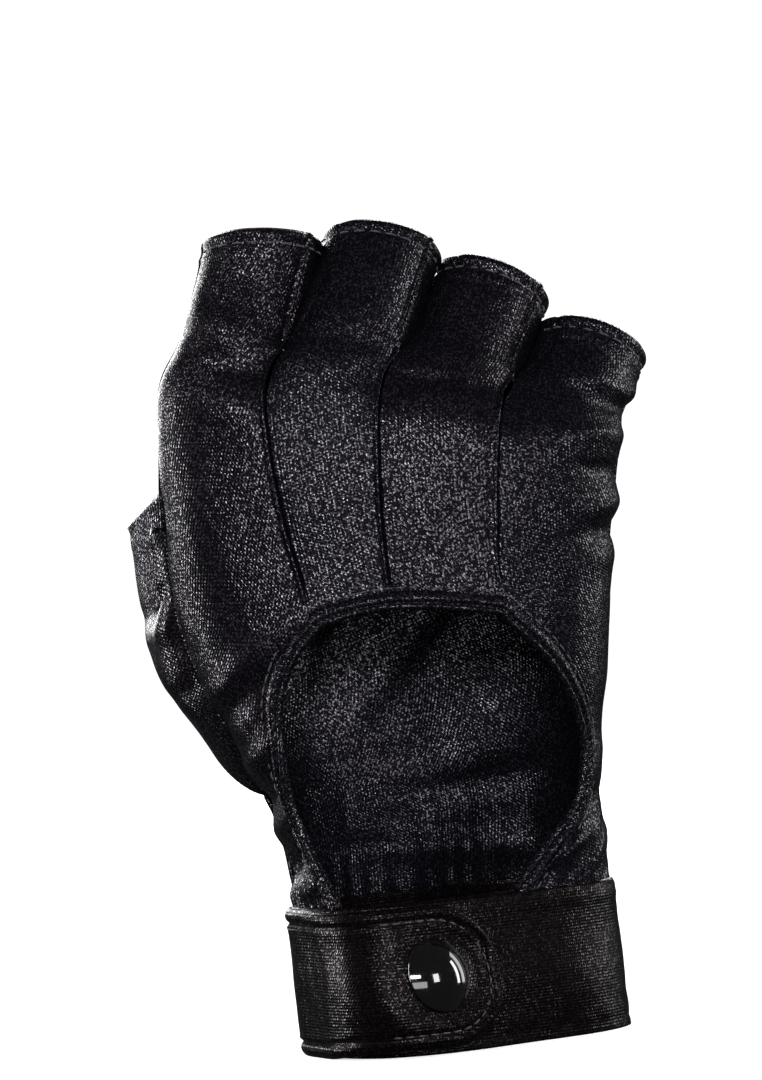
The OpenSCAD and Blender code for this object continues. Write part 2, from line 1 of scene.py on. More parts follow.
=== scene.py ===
# Fingerless satin glove for the right hand, shaped as worn, standing on its cuff.
# Cloth is worked out in millimetres: a point is named by its section angle (0 back, 90 little finger side,
# 180 palm, 270 thumb side), its height along the hand and how far it stands out from the skin.
import math
import bpy
import numpy as np
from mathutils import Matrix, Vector


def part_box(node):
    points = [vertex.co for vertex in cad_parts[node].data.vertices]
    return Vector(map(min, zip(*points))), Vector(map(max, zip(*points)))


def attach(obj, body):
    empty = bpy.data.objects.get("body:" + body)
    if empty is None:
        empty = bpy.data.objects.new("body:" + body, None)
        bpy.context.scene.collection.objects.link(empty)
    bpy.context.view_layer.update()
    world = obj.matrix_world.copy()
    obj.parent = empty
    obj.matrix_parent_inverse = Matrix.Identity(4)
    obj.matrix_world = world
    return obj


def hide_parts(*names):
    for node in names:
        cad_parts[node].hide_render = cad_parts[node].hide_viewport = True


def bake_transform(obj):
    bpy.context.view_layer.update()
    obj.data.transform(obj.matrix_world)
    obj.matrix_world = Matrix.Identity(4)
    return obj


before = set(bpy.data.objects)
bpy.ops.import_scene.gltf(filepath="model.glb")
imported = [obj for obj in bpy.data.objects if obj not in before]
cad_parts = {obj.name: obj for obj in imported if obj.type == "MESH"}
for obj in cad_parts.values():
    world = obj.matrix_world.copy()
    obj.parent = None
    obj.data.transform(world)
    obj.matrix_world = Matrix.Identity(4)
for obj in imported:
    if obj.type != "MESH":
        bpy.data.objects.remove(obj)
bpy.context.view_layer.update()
mm = 0.001

# Shape of the hand
hand = {
    "knuckleHeight": 100, "palmWidth": 77.5, "wristWidth": 52, "palmDepth": 28, "wristDepth": 34,
    "fingerRadius": 9, "fingerLength": 25, "thumbRadius": 10.6, "clothThickness": 0.9,
    "bendStart": 98, "bendEnd": 124, "bendAngle": 26, "knuckleSlant": 0.15,
}
outer = hand["clothThickness"]
cuffHeight = (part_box("cuff_band")[1].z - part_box("cuff_band")[0].z) / mm
# Each list gives a height along the hand and the value there
widthShare = [(0, 0), (25, 0), (38, .06), (50, .28), (62, .58), (74, .78), (88, .88), (100, .94), (112, 1),
              (126, 1)]
centreShift = [(0, 0), (25, -1.3), (38, -2.3), (50, -4), (62, -6), (74, -7.2), (88, -7.2), (100, -6.4),
               (112, -4.4), (126, -2)]
backDepth = [(0, 1), (25, .97), (50, 1.03), (74, 1.1), (100, 1.07), (112, .96), (126, .82)]
palmDepth = [(0, 1), (25, 1), (50, 1.13), (74, 1.14), (100, .93), (126, .64)]
twist = [(0, 32), (25, 30), (40, 20), (60, 9), (80, 5), (126, 4)]
squareness = [(0, 3), (25, 3), (50, 2.6), (90, 2.3), (126, 2.3)]


def smooth(x):
    # Cubic step from 0 to 1 with level ends
    c = np.clip(x, 0, 1)
    return c * c * (3 - 2 * c)


def curve(rows, x):
    # Cubic through the rows, each slope taken from the neighbours on both sides
    key, value = np.array(rows, float).T
    first, last = np.maximum(np.arange(len(key)) - 1, 0), np.minimum(np.arange(len(key)) + 1, len(key) - 1)
    slope = (value[last] - value[first]) / (key[last] - key[first])
    x = np.asarray(x, float)
    i = np.clip(np.searchsorted(key, x, side="right") - 1, 0, len(key) - 2)
    step = key[i + 1] - key[i]
    w = np.clip((x - key[i]) / step, 0, 1)
    return ((1 + 2 * w) * (1 - w) ** 2 * value[i] + w * (1 - w) ** 2 * step * slope[i]
            + w * w * (3 - 2 * w) * value[i + 1] + w * w * (w - 1) * step * slope[i + 1])


def point(x, y, z):
    # Three coordinates joined into points
    return np.stack(np.broadcast_arrays(x, y, z), -1)


def bodyPoint(angle, s, out):
    # A squared ellipse, turned by the twist, shifted sideways and carried along an arc past the knuckles
    angle, s = np.broadcast_arrays(np.asarray(angle, float), np.asarray(s, float))
    a, n = np.radians(angle), curve(squareness, s)
    rho = (np.abs(np.sin(a)) ** n + np.abs(np.cos(a)) ** n) ** (-1 / n)
    wide = (hand["wristWidth"] + (hand["palmWidth"] - hand["wristWidth"]) * curve(widthShare, s)) / 2
    deep = (hand["wristDepth"] + (hand["palmDepth"] - hand["wristDepth"]) * smooth(s / 100)) / 2
    halfDepth = deep * np.where(np.cos(a) > 0, curve(backDepth, s), curve(palmDepth, s)) + out
    x, y, r = (wide + out) * rho * np.sin(a), halfDepth * rho * np.cos(a), np.radians(curve(twist, s))
    span = hand["bendEnd"] - hand["bendStart"]
    fullBend = math.radians(hand["bendAngle"])
    bend = fullBend * np.clip((s - hand["bendStart"]) / span, 0, 1)
    radius, past = span / fullBend, np.maximum(s - hand["bendEnd"], 0)
    depth = x * np.sin(r) - y * np.cos(r)
    px = curve(centreShift, s) + x * np.cos(r) + y * np.sin(r)
    py = radius * (1 - np.cos(bend)) + past * math.sin(fullBend) + depth * np.cos(bend)
    pz = np.minimum(s, hand["bendStart"]) + (radius - depth) * np.sin(bend) + past * math.cos(fullBend)
    return point(px, py, pz - hand["knuckleSlant"] * (px + 5) * smooth((s - 70) / 40))


# Fingers: index, middle, ring, little
fingers = {
    "rootX": (-.82, -.36, .12, .63), "rootY": (-2.2, -4, 1.6, 5.5), "rootZ": (14.7, 14.8, 9.8, 4),
    "lean": (18, 24, 28, 25), "flex": (12, 26, 24, 26), "lengthShare": (1, 1.02, .9, .62),
    "girthShare": (.99, 1.02, .98, .93), "hemSlant": (2.2, 1.8, .6, .5),
    "names": ("index", "middle", "ring", "little"),
}
crotch = 118
sideArc = 50
partLength = 8


def unit(v):
    # A vector divided by its length
    return v / np.linalg.norm(v)


def sleeveLength(k):
    # The finger's share of the full sleeve length
    return hand["fingerLength"] * fingers["lengthShare"][k]


def fingerFrame(k):
    # Root, direction, sideways and backward vectors of one finger
    lean, flex = math.radians(fingers["lean"][k]), math.radians(fingers["flex"][k])
    along = np.array([math.sin(lean) * math.cos(flex), math.sin(flex), math.cos(lean) * math.cos(flex)])
    back = unit(np.array([0, -1, 0]) + along[1] * along)
    side = np.cross(back, along)
    root = np.array([fingers["rootX"][k] * hand["palmWidth"] / 2, fingers["rootY"][k],
                     fingers["rootZ"][k] + hand["knuckleHeight"]])
    return root, along, side if side[0] > 0 else -side, back


def fingerPoint(k, b, s, out):
    # An ellipse round the finger's axis, a little fuller towards the knuckle
    b, s = np.broadcast_arrays(np.radians(b), np.asarray(s, float))
    root, along, side, back = fingerFrame(k)
    fuller = 1 - smooth((s - crotch) / sleeveLength(k))
    r = hand["fingerRadius"] * fingers["girthShare"][k]
    rx, ry = r * (1 + .03 * fuller) + out, r * (.97 + .06 * fuller) + out
    return (root + (s - crotch)[..., None] * along + (rx * np.sin(b))[..., None] * side
            + (ry * np.cos(b))[..., None] * back)


seam = [
    [(24, -120), (42, -116), (58, -98), (80, -90), (126, -90)],
    [(24, -73), (31, -79), (41, -76.5), (54, -55), (62, -44), (70, -32), (74, -25), (88, -28), (100, -31),
     (110, -33), (126, -34)],
    [(74, -3), (108, -4), (126, -4)],
    [(24, 7), (31, 24), (39, 44), (49, 52), (57, 48.5), (66, 38.5), (74, 27), (90, 26), (108, 26), (126, 27)],
    [(24, 76), (50, 86), (80, 90), (126, 90)],
]
palmLine = [seam[0], [(24, 215), (126, 213)], [(24, 182), (126, 183)], [(24, 150), (126, 157)], seam[4]]
backArc = [(-90, sideArc), (-sideArc, sideArc), (-sideArc, sideArc), (-sideArc, 90)]
palmArc = [(270, 180 - sideArc), (180 + sideArc, 180 - sideArc), (180 + sideArc, 180 - sideArc),
           (180 + sideArc, 90)]
thumb = {"low": 44, "high": 88, "gape": 50, "hem": (-40.5, 22, 101), "shear": .75, "start": 140}
sewing = {"hemInset": 2.7, "tabInset": 2.5, "openingInset": 1.1}
opening = {"top": 74, "arch": 2.4}


def gape(s):
    # How far the thumb hole opens the side seam towards the palm, in degrees
    x = np.clip((s - thumb["low"]) / (thumb["high"] - thumb["low"]), 0, 1)
    return thumb["gape"] * np.maximum(np.sin(np.pi * x), 0) ** .8


def lineAngle(back, i, s):
    # Section angle of seam i on the back or the palm side at a height
    if back:
        return curve(seam[i], s)
    return curve(palmLine[i], s) + (360 - gape(s) if i == 0 else 0)


def stripRaw(back, k, u, s, out):
    # The hand's section turns into the finger's ring between the knuckle and the sleeve
    left, right = lineAngle(back, k, s), lineAngle(back, k + 1, s)
    first, last = (backArc if back else palmArc)[k]
    m = smooth((s - 100) / 26)[..., None]
    return (bodyPoint(left + (right - left) * u, s, out) * (1 - m)
            + fingerPoint(k, first + (last - first) * u, s, out) * m)


def join(s):
    # Half at the crotch and below it, so that neighbours meet midway, and fading to none just above it
    return .5 * (1 - smooth((s - crotch) / partLength))


def stripPoint(back, k, u, s, out):
    # Neighbouring strips are pulled to their common seam below the crotch and part above it
    u, s = np.broadcast_arrays(np.asarray(u, float), np.asarray(s, float))
    p = stripRaw(back, k, u, s, out)
    j, zero, one = join(s)[..., None], np.zeros_like(s), np.ones_like(s)
    if k > 0:
        apart = stripRaw(back, k - 1, one, s, out) - stripRaw(back, k, zero, s, out)
        p = p + ((1 - u) ** 2)[..., None] * j * apart
    if k < 3:
        apart = stripRaw(back, k + 1, zero, s, out) - stripRaw(back, k, one, s, out)
        p = p + (u ** 2)[..., None] * j * apart
    return p


def hemHeight(k, b):
    # The hem lies on a plane that is slanted sideways
    return crotch + sleeveLength(k) + fingers["hemSlant"][k] * np.sin(np.radians(b))


def sleeveHeight(back, k, u, v):
    # The crotch height plus a share of the way from there to the hem
    first, last = (backArc if back else palmArc)[k]
    return crotch + (hemHeight(k, first + (last - first) * u) - crotch) * v


# Folds
# Each fold runs from one point to another as seen from the back of the hand: x1, z1, x2, z2, width, height.
backFolds = [
    # drag line from the thumb to the opening
    (-38, 62, -21, 76, 3.2, .9), (-40, 56, -27, 68, 2.4, -.8),
    # gathers of the strap on the thumb side
    (-36, 47, -28, 55, 2.2, .9), (-33, 41, -27, 49, 1.8, -1.0), (-31, 36, -26, 43, 1.8, 1.0),
    (-29, 30, -23, 38, 1.5, -1.2), (-28, 27, -21, 31, 1.6, .9),
    # gathers of the strap on the little finger side
    (14, 29, 23, 34, 1.5, 1.0), (16, 33, 24, 40, 1.4, -.9), (19, 38, 25, 47, 1.8, .8),
    (22, 27, 25, 33, 1.2, .8),
    # creases along the little finger side
    (37, 104, 27, 107, 1.5, -.9), (36, 107, 25, 111, 1.9, 1.0), (36, 100, 26, 101, 2.0, .8),
    (34.5, 94, 26, 95, 1.5, -.8), (35, 90, 27, 88, 2.0, .9), (33, 85, 27, 84, 1.4, -.7),
    (32, 81, 25, 79, 2.2, .6),
    # creases over the knuckles
    (10, 110.5, 22, 107.5, 1.2, -.6), (-4, 113, 9, 110.5, 1.3, -.6), (6, 116, 15, 113, 1.6, .7),
    (-9, 116.5, 3, 115, 1.8, .6), (22, 110, 33, 107.5, 1.3, -.7), (-38, 119, -27, 115, 2.2, -.5),
    (-40, 112, -28, 108, 3, .5), (-36, 126, -29, 121, 2, .4),
]
palmFolds = [
    (-30, 96, 24, 88, 2.6, -1.1), (-26, 62, -12, 96, 2.8, -1.2), (-20, 52, 6, 80, 3.2, -.8),
    (-24, 104, 26, 94, 2.2, -.8), (-20, 33, 18, 30, 2.2, -.7), (-18, 40, 16, 44, 2.6, .7),
    (10, 60, 26, 86, 3, .7), (-32, 70, -27, 90, 2.2, .6),
]
thumbFolds = [
    (-50, 76, -44, 82, 1.4, -.9), (-49, 72, -42, 76, 1.8, .7), (-50, 88, -43, 91, 1.6, .5),
    (-45, 62, -38, 66, 1.6, -.6),
]


def ridge(x, at, width, height):
    # A soft raised or sunken line: a bell curve of the distance from where it lies
    return height * np.exp(-((x - at) / width) ** 2)


def foldHeight(p, folds):
    # Sum of soft ridges: each falls off with distance from its line and fades at the line's ends
    total = np.zeros(len(p))
    for x1, z1, x2, z2, width, height in folds:
        d = np.array([x2 - x1, z2 - z1])
        w = ((p[:, 0] - x1) * d[0] + (p[:, 2] - z1) * d[1]) / (d @ d)
        away = ((p[:, 0] - x1) * -d[1] + (p[:, 2] - z1) * d[0]) / np.linalg.norm(d)
        beyond = np.maximum(np.maximum(-w, w - 1), 0) * np.linalg.norm(d)
        taper = np.exp(-(beyond / (width * 1.4)) ** 2) * (.55 + .45 * np.sin(np.pi * np.clip(w, 0, 1)))
        total += height * np.exp(-(away / width) ** 2) * taper
    return total


def ripple(p, seed, size, height):
    # Smooth uneven surface: a sum of a few slanted waves with seeded directions and phases
    rng = np.random.default_rng(seed)
    total = np.zeros(len(p))
    for _ in range(9):
        d = unit(rng.normal(size=3)) * (2 * np.pi / (size * rng.uniform(.7, 1.6)))
        total += np.sin(p @ d + rng.uniform(0, 6.28))
    return total * height / 3


# Mesh helpers
def addPiece(name, verts, faces, uv=None, material=None, body="glove", wall=0.0, node=None):
    # verts in millimetres; wall thickens the sheet inwards; uv is one pair of millimetres for each vertex
    mesh = bpy.data.meshes.new(name)
    mesh.from_pydata((verts * mm).tolist(), [], faces if isinstance(faces, list) else faces.tolist())
    if uv is not None:
        layer = mesh.uv_layers.new(name="UVMap")
        loops = np.empty(len(mesh.loops), np.int32)
        mesh.loops.foreach_get("vertex_index", loops)
        layer.data.foreach_set("uv", (uv[loops] * mm).ravel())
    mesh.polygons.foreach_set("use_smooth", [True] * len(mesh.polygons))
    mesh.update()
    piece = bpy.data.objects.new(name, mesh)
    bpy.context.scene.collection.objects.link(piece)
    if material:
        mesh.materials.append(material)
    if wall:
        solid = piece.modifiers.new("wall", "SOLIDIFY")
        solid.thickness = wall * mm
        solid.offset = -1
    if body:
        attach(piece, body)
    if node:
        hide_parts(node)
    return piece


def gridFaces(rows, columns, ring=False, start=0, flip=False):
    # Four-sided faces of a grid stored row by row
    i, j = np.meshgrid(np.arange(rows - 1), np.arange(columns if ring else columns - 1), indexing="ij")
    k = (j + 1) % columns
    a, b, c, d = i * columns + j, i * columns + k, (i + 1) * columns + k, (i + 1) * columns + j
    quads = np.stack([a, b, c, d], -1).reshape(-1, 4) + start
    return quads[:, ::-1] if flip else quads


def tubeFaces(rows, columns, flip=True):
    # A ring of columns carried along the rows, closed by one face at each end
    start, end = list(range(columns)), list(range((rows - 1) * columns, rows * columns))
    caps = [start, end[::-1]] if flip else [start[::-1], end]
    return gridFaces(rows, columns, ring=True, flip=flip).tolist() + caps


def gridNormals(p, ring=False):
    # Cross product of the two grid directions
    if ring:
        wide = np.concatenate([p[:, -1:], p, p[:, :1]], 1)
        du = (wide[:, 2:] - wide[:, :-2]) / 2
    else:
        du = np.gradient(p, axis=1)
    n = np.cross(du, np.gradient(p, axis=0))
    return n / np.maximum(np.linalg.norm(n, axis=-1, keepdims=True), 1e-9)


def arcLengths(p, axis):
    # Running length along one grid direction
    step = np.linalg.norm(np.diff(p, axis=axis), axis=-1)
    zero = np.zeros_like(np.take(step, [0], axis))
    return np.concatenate([zero, np.cumsum(step, axis)], axis)


def gridUv(p, turn=0.0):
    # Length across from the middle and length along it, in millimetres, turned by the cut of the cloth
    across, up = arcLengths(p, 1), arcLengths(p, 0)
    across = across - across[:, -1:] / 2
    up = np.repeat(up[:, up.shape[1] // 2][:, None], up.shape[1], 1)
    c, s = math.cos(math.radians(turn)), math.sin(math.radians(turn))
    return np.stack([across * c - up * s, across * s + up * c], -1).reshape(-1, 2)


def hemProfile(fromHem):
    # Turned hem: a rolled edge, a flat doubled band, a dent along the stitch line and a lip that dives in
    roll = ridge(fromHem, .9, .9, .28)
    band = .22 * (1 - smooth((fromHem - 4) / .8))
    return roll + band + ridge(fromHem, sewing["hemInset"], .42, -.34) + ridge(fromHem, 0, .3, -.55)


print("shape ready")


# Materials: "turn" is the columns' angle in degrees, "twill" the slant of the lines that cross them
# and "pitch" their distance in millimetres
# The "light" tone is the lighter colour painted where single filaments glint: a painted glint
satins = {
    "satin": {
        "base": (.0026, .0022, .0034, 1), "light": (.015, .0125, .018, 1), "tint": (.93, .84, 1, 1),
        "rough": .32, "gloss": .95, "bump": .40, "pitch": .58, "turn": 4, "twill": 48,
    },
    "satinPlain": {
        "base": (.0026, .0023, .0038, 1), "light": (.014, .0125, .019, 1), "tint": (.92, .87, 1, 1),
        "rough": .33, "gloss": .9, "bump": .38, "pitch": .58, "turn": 0, "twill": 58,
    },
    "cuffSatin": {
        "base": (.0022, .0016, .0017, 1), "light": (.010, .007, .0075, 1), "tint": (1, .88, .90, 1),
        "rough": .30, "gloss": .36, "bump": .36, "pitch": .52, "turn": 90, "twill": 64,
    },
    "bindingSatin": {
        "base": (.0030, .0026, .0040, 1), "light": (.024, .020, .028, 1), "tint": (.94, .88, 1, 1),
        "rough": .30, "gloss": 1.0, "bump": .40, "pitch": .5, "turn": 62, "twill": 40,
    },
}


def newMaterial(name):
    # A material with its node tree and its shader
    material = bpy.data.materials.new(name)
    material.use_nodes = True
    tree = material.node_tree
    return material, tree, tree.nodes["Principled BSDF"]


def noise(tree, scale, detail):
    # Cloudy value in the piece's own space
    place, cloud = tree.nodes.new("ShaderNodeTexCoord"), tree.nodes.new("ShaderNodeTexNoise")
    cloud.inputs["Scale"].default_value = scale
    cloud.inputs["Detail"].default_value = detail
    tree.links.new(place.outputs["Object"], cloud.inputs["Vector"])
    return cloud.outputs["Fac"]


def ranged(tree, value, low, high, newLow, newHigh):
    # The value stretched from one range to another
    step = tree.nodes.new("ShaderNodeMapRange")
    for key, number in zip(("From Min", "From Max", "To Min", "To Max"), (low, high, newLow, newHigh)):
        step.inputs[key].default_value = number
    tree.links.new(value, step.inputs["Value"])
    return step.outputs["Result"]


def colourBy(tree, shader, value, dark, light):
    # Base colour between two tones
    tones = tree.nodes.new("ShaderNodeValToRGB")
    tones.color_ramp.elements[0].color = dark
    tones.color_ramp.elements[1].color = light
    tree.links.new(value, tones.inputs["Fac"])
    tree.links.new(tones.outputs["Color"], shader.inputs["Base Color"])


def bumpBy(tree, shader, value, strength, distance):
    # Relief from a height value, its depth in metres
    bump = tree.nodes.new("ShaderNodeBump")
    bump.inputs["Strength"].default_value = strength
    bump.inputs["Distance"].default_value = distance
    tree.links.new(value, bump.inputs["Height"])
    tree.links.new(bump.outputs["Normal"], shader.inputs["Normal"])


def clothMaterial(name, look):
    # Columns of yarn crossed by a slanted twill; single filaments between them glint, smoother, with the base
    # colour painted lighter there as a painted glint
    material, tree, shader = newMaterial(name)
    add, link = tree.nodes.new, tree.links.new
    uv = add("ShaderNodeUVMap")
    uv.uv_map = "UVMap"

    def wave(turn, pitch, warp):
        # Even bands across the turned cloth, one to a pitch, bent a little
        turned = add("ShaderNodeMapping")
        turned.inputs["Rotation"].default_value = (0, 0, math.radians(turn))
        link(uv.outputs[0], turned.inputs[0])
        bands = add("ShaderNodeTexWave")
        bands.inputs["Scale"].default_value = 2 * math.pi / (20 * pitch * mm)
        bands.inputs["Distortion"].default_value = warp
        bands.inputs["Detail"].default_value = 2
        bands.inputs["Detail Scale"].default_value = .35
        link(turned.outputs[0], bands.inputs[0])
        return bands.outputs["Fac"]

    def mixed(a, b, share):
        # One value and the other, by share
        both = add("ShaderNodeMix")
        both.data_type = "FLOAT"
        both.inputs["Factor"].default_value = share
        link(a, both.inputs["A"])
        link(b, both.inputs["B"])
        return both.outputs["Result"]

    def times(a, b):
        # One value times the other
        both = add("ShaderNodeMath")
        both.operation = "MULTIPLY"
        link(a, both.inputs[0])
        link(b, both.inputs[1])
        return both.outputs["Value"]

    ribs = wave(look["turn"], look["pitch"], .9)
    twill = wave(look["turn"] - look["twill"], look["pitch"] * .8, .8)
    weave, fibres, patches = mixed(ribs, twill, .38), noise(tree, 2300, 1), noise(tree, 95, 3)
    glints = times(ranged(tree, fibres, .50, .68, 0, 1), ranged(tree, weave, .15, .75, .15, 1))
    smoothness = ranged(tree, mixed(glints, patches, .3), .1, .6, look["rough"] + .05, look["rough"] - .14)
    # Painted glint: the base colour goes from the dark tone to the lighter one where the filaments glint
    colourBy(tree, shader, glints, look["base"], look["light"])
    bumpBy(tree, shader, mixed(weave, fibres, .5), look["bump"], .00030)
    link(smoothness, shader.inputs["Roughness"])
    link(ranged(tree, glints, .02, .5, .04, look["gloss"]), shader.inputs["Specular IOR Level"])
    shader.inputs["Specular Tint"].default_value = look["tint"]
    return material


def threadMaterial():
    # Twisted black yarn
    material, tree, shader = newMaterial("sewingThread")
    strands = noise(tree, 2600, 2)
    colourBy(tree, shader, strands, (.008, .0075, .010, 1), (.085, .078, .095, 1))
    bumpBy(tree, shader, strands, .6, .0001)
    shader.inputs["Roughness"].default_value = .5
    shader.inputs["Sheen Weight"].default_value = .25
    return material


def enamelMaterial():
    # High gloss black enamel with the faintest unevenness and a few dust specks in the gloss
    material, tree, shader = newMaterial("blackEnamel")
    dust = noise(tree, 900, 4)
    tree.links.new(ranged(tree, dust, .45, .75, .07, .16), shader.inputs["Roughness"])
    colourBy(tree, shader, dust, (.0028, .0028, .0030, 1), (.0050, .0048, .0048, 1))
    shader.inputs["Specular IOR Level"].default_value = .6
    shader.inputs["Coat Weight"].default_value = .6
    shader.inputs["Coat Roughness"].default_value = .03
    return material


def steelMaterial():
    # Plated pressed steel with fine drawing marks
    material, tree, shader = newMaterial("platedSteel")
    marks = noise(tree, 1400, 5)
    tree.links.new(ranged(tree, marks, 0, 1, .22, .42), shader.inputs["Roughness"])
    colourBy(tree, shader, marks, (.42, .42, .43, 1), (.60, .60, .61, 1))
    shader.inputs["Metallic"].default_value = 1
    return material


def feltMaterial():
    # Charcoal bonded fibres
    material, tree, shader = newMaterial("bondedFibre")
    colourBy(tree, shader, noise(tree, 1800, 6), (.010, .010, .011, 1), (.034, .033, .035, 1))
    shader.inputs["Roughness"].default_value = .9
    return material


cloth = {name: clothMaterial(name, look) for name, look in satins.items()}
threadBlack, enamel, steel, felt = threadMaterial(), enamelMaterial(), steelMaterial(), feltMaterial()
kept = {"snap_socket": steel, "snap_stud": steel, "snap_post": steel, "cuff_interfacing": felt}
for node, material in kept.items():
    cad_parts[node].data.materials.clear()
    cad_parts[node].data.materials.append(material)
print("materials ready")

# Back panels
panels = {
    "index": {
        "node": "index_back_panel", "columns": 66, "rows": 150, "turn": 14,
        "cut": (.036, .117), "area": .0026,
    },
    "middle": {
        "node": "middle_back_panel", "columns": 44, "rows": 92, "turn": -4,
        "cut": (.022, .066), "area": .00125,
    },
    "ring": {
        "node": "ring_back_panel", "columns": 44, "rows": 88, "turn": -8,
        "cut": (.023, .060), "area": .00125,
    },
    "little": {
        "node": "little_back_panel", "columns": 60, "rows": 140, "turn": -14,
        "cut": (.034, .099), "area": .0022,
    },
}


def arch(k, u):
    # How far the opening's top edge stands above its shoulders, highest between the middle and ring panels
    if k == 1:
        return opening["arch"] * np.sin(np.pi / 2 * u)
    return opening["arch"] * np.cos(np.pi / 2 * u) if k == 2 else 0 * u


def panelGrid(k, rows, columns):
    # Rows run from the cuff or the opening's top edge up to the finger hem
    t = np.linspace(0, 1, columns + 1)[None, :]
    u = t - .8 * np.sin(2 * np.pi * t) / (2 * np.pi)
    low = cuffHeight - 1.5 if k in (0, 3) else opening["top"] + arch(k, u)
    first, last = backArc[k]
    high = hemHeight(k, first + (last - first) * u)
    v = np.linspace(0, 1, rows + 1)[:, None]
    s = low + (high - low) * v
    return stripPoint(True, k, u + 0 * s, s, outer), s, high


def backPanel(k):
    # The strip of one finger, with its folds, hem, seams and the gathers above the cuff
    name = fingers["names"][k]
    spec = panels[name]
    p, s, high = panelGrid(k, spec["rows"], spec["columns"])
    across = arcLengths(p, 1)
    fromLeft, fromRight = across, across[:, -1:] - across
    flat = p.reshape(-1, 3)
    rise = foldHeight(flat, backFolds) + ripple(flat, 11 + k, 17, .16) + ripple(flat, 31 + k, 6, .05)
    rise = rise.reshape(s.shape) + hemProfile(high - s)
    # the left side of each seam is pressed into a narrow ridge, the right side dives under it
    inSeam = smooth((s - opening["top"] - 1) / 4)
    if k < 3:
        rise += inSeam * (ridge(fromRight, .48, .34, .30) + ridge(fromRight, 0, .16, -.5))
        rise += inSeam * ridge(fromRight, 1.3, .4, -.12)
    if k > 0:
        rise += inSeam * (ridge(fromLeft, 0, .24, -.45) + ridge(fromLeft, .7, .6, -.10))
    # puckers where the straps are gathered into the cuff
    if k in (0, 3):
        near = np.exp(-np.maximum(s - cuffHeight, 0) / 5.5)
        pleats = across * 2 * np.pi / 3.7 + 1.2 * np.sin(across * .6) + .3 * (s - cuffHeight)
        rise += near * .40 * np.sin(pleats)
    p = p + gridNormals(p) * rise[..., None]
    material = cloth["satin" if k in (0, 2) else "satinPlain"]
    return addPiece(name + "BackPanel", p.reshape(-1, 3), gridFaces(*s.shape), gridUv(p, spec["turn"]),
                    material, wall=.8, node=spec["node"])


backPieces = [backPanel(k) for k in range(4)]
print("back panels ready")


# Palm panel
palm = {"rowsHand": 104, "rowsSleeve": 30, "columns": (44, 30, 30, 44), "cut": (.092, .116), "area": .0080}


def palmPanel():
    # One cut piece: four strips that share their columns below the crotch and part above it
    rows, sleeve, columns = palm["rowsHand"], palm["rowsSleeve"], palm["columns"]
    s = np.linspace(cuffHeight - 1.5, crotch, rows)[:, None]
    strips = [stripPoint(False, k, np.linspace(0, 1, c + 1)[None, :] + 0 * s, s + np.zeros((1, c + 1)), outer)
              for k, c in enumerate(columns)]
    base = np.concatenate([strip[:, :-1] for strip in strips[:3]] + [strips[3]], 1)
    width = base.shape[1]
    verts, faces = [base.reshape(-1, 3)], [gridFaces(rows, width, flip=True)]
    uvBase, farFromHem = gridUv(base), np.full(rows * width, 60.)
    uvs, fromHem, start, first = [uvBase], [farFromHem], rows * width, 0
    for k, c in enumerate(columns):
        u, v = np.linspace(0, 1, c + 1)[None, :], np.linspace(0, 1, sleeve + 1)[1:, None]
        h = sleeveHeight(False, k, u, v)
        p = stripPoint(False, k, u + 0 * h, h, outer)
        up = arcLengths(np.concatenate([base[-1:, first:first + c + 1], p], 0), 0)[1:]
        corner = uvBase.reshape(rows, width, 2)[-1, first:first + c + 1]
        uvs.append(np.stack([corner[None, :, 0] + 0 * up, corner[None, :, 1] + up], -1).reshape(-1, 2))
        fromHem.append((sleeveHeight(False, k, u, np.ones((1, 1))) - h).ravel())
        verts.append(p.reshape(-1, 3))
        lower, upper, i = (rows - 1) * width + first, start, np.arange(c)
        bridge = np.stack([lower + i, lower + i + 1, upper + i + 1, upper + i], -1)
        faces += [bridge[:, ::-1], gridFaces(sleeve, c + 1, start=start, flip=True)]
        start += sleeve * (c + 1)
        first += c
    verts, uvs, fromHem = np.concatenate(verts), np.concatenate(uvs), np.concatenate(fromHem)
    piece = addPiece("palmPanel", verts, np.concatenate(faces), uvs, cloth["satinPlain"], wall=.8,
                     node="palm_panel")
    normals = np.empty(len(verts) * 3, np.float32)
    piece.data.vertices.foreach_get("normal", normals)
    x, z = verts[:, 0], verts[:, 2]
    pleats = np.sin(x * 2 * np.pi / 3.9 + 1.4 * np.sin(x * .31))
    gather = .2 * np.exp(-np.maximum(z - cuffHeight, 0) / 6) * pleats
    rise = foldHeight(verts, palmFolds) + ripple(verts, 51, 19, .22) + ripple(verts, 52, 7, .06) + gather
    moved = verts + normals.reshape(-1, 3) * (rise + hemProfile(fromHem))[:, None]
    piece.data.vertices.foreach_set("co", (moved * mm).ravel())
    piece.data.update()
    return piece


palmPiece = palmPanel()
print("palm ready")

# Fourchettes
gussets = {"rows": 36, "columns": 22, "out": .82,
           "nodes": ("index_middle_fourchette", "middle_ring_fourchette", "ring_little_fourchette"),
           "cuts": ((.015, .046), (.015, .044), (.014, .036))}


def filled(k, b, s, out, f):
    # The finger's side drawn out, or pressed in, until it rests on the plane halfway to its neighbour
    b, s = np.broadcast_arrays(b, s)
    near, far = fingerFrame(f), fingerFrame(f + 1)
    middle, side = unit(near[2] + far[2]), fingerFrame(k)[2]
    half = ((far[0] - near[0]) @ middle + (s - crotch) * ((far[1] - near[1]) @ middle)) / 2
    reach = hand["fingerRadius"] * fingers["girthShare"][k] + out
    share = np.sin(np.radians(b))
    shift = np.clip(half - .1 - reach, -3, 3) * share * np.abs(share)
    return fingerPoint(k, b, s, out) + shift[..., None] * side


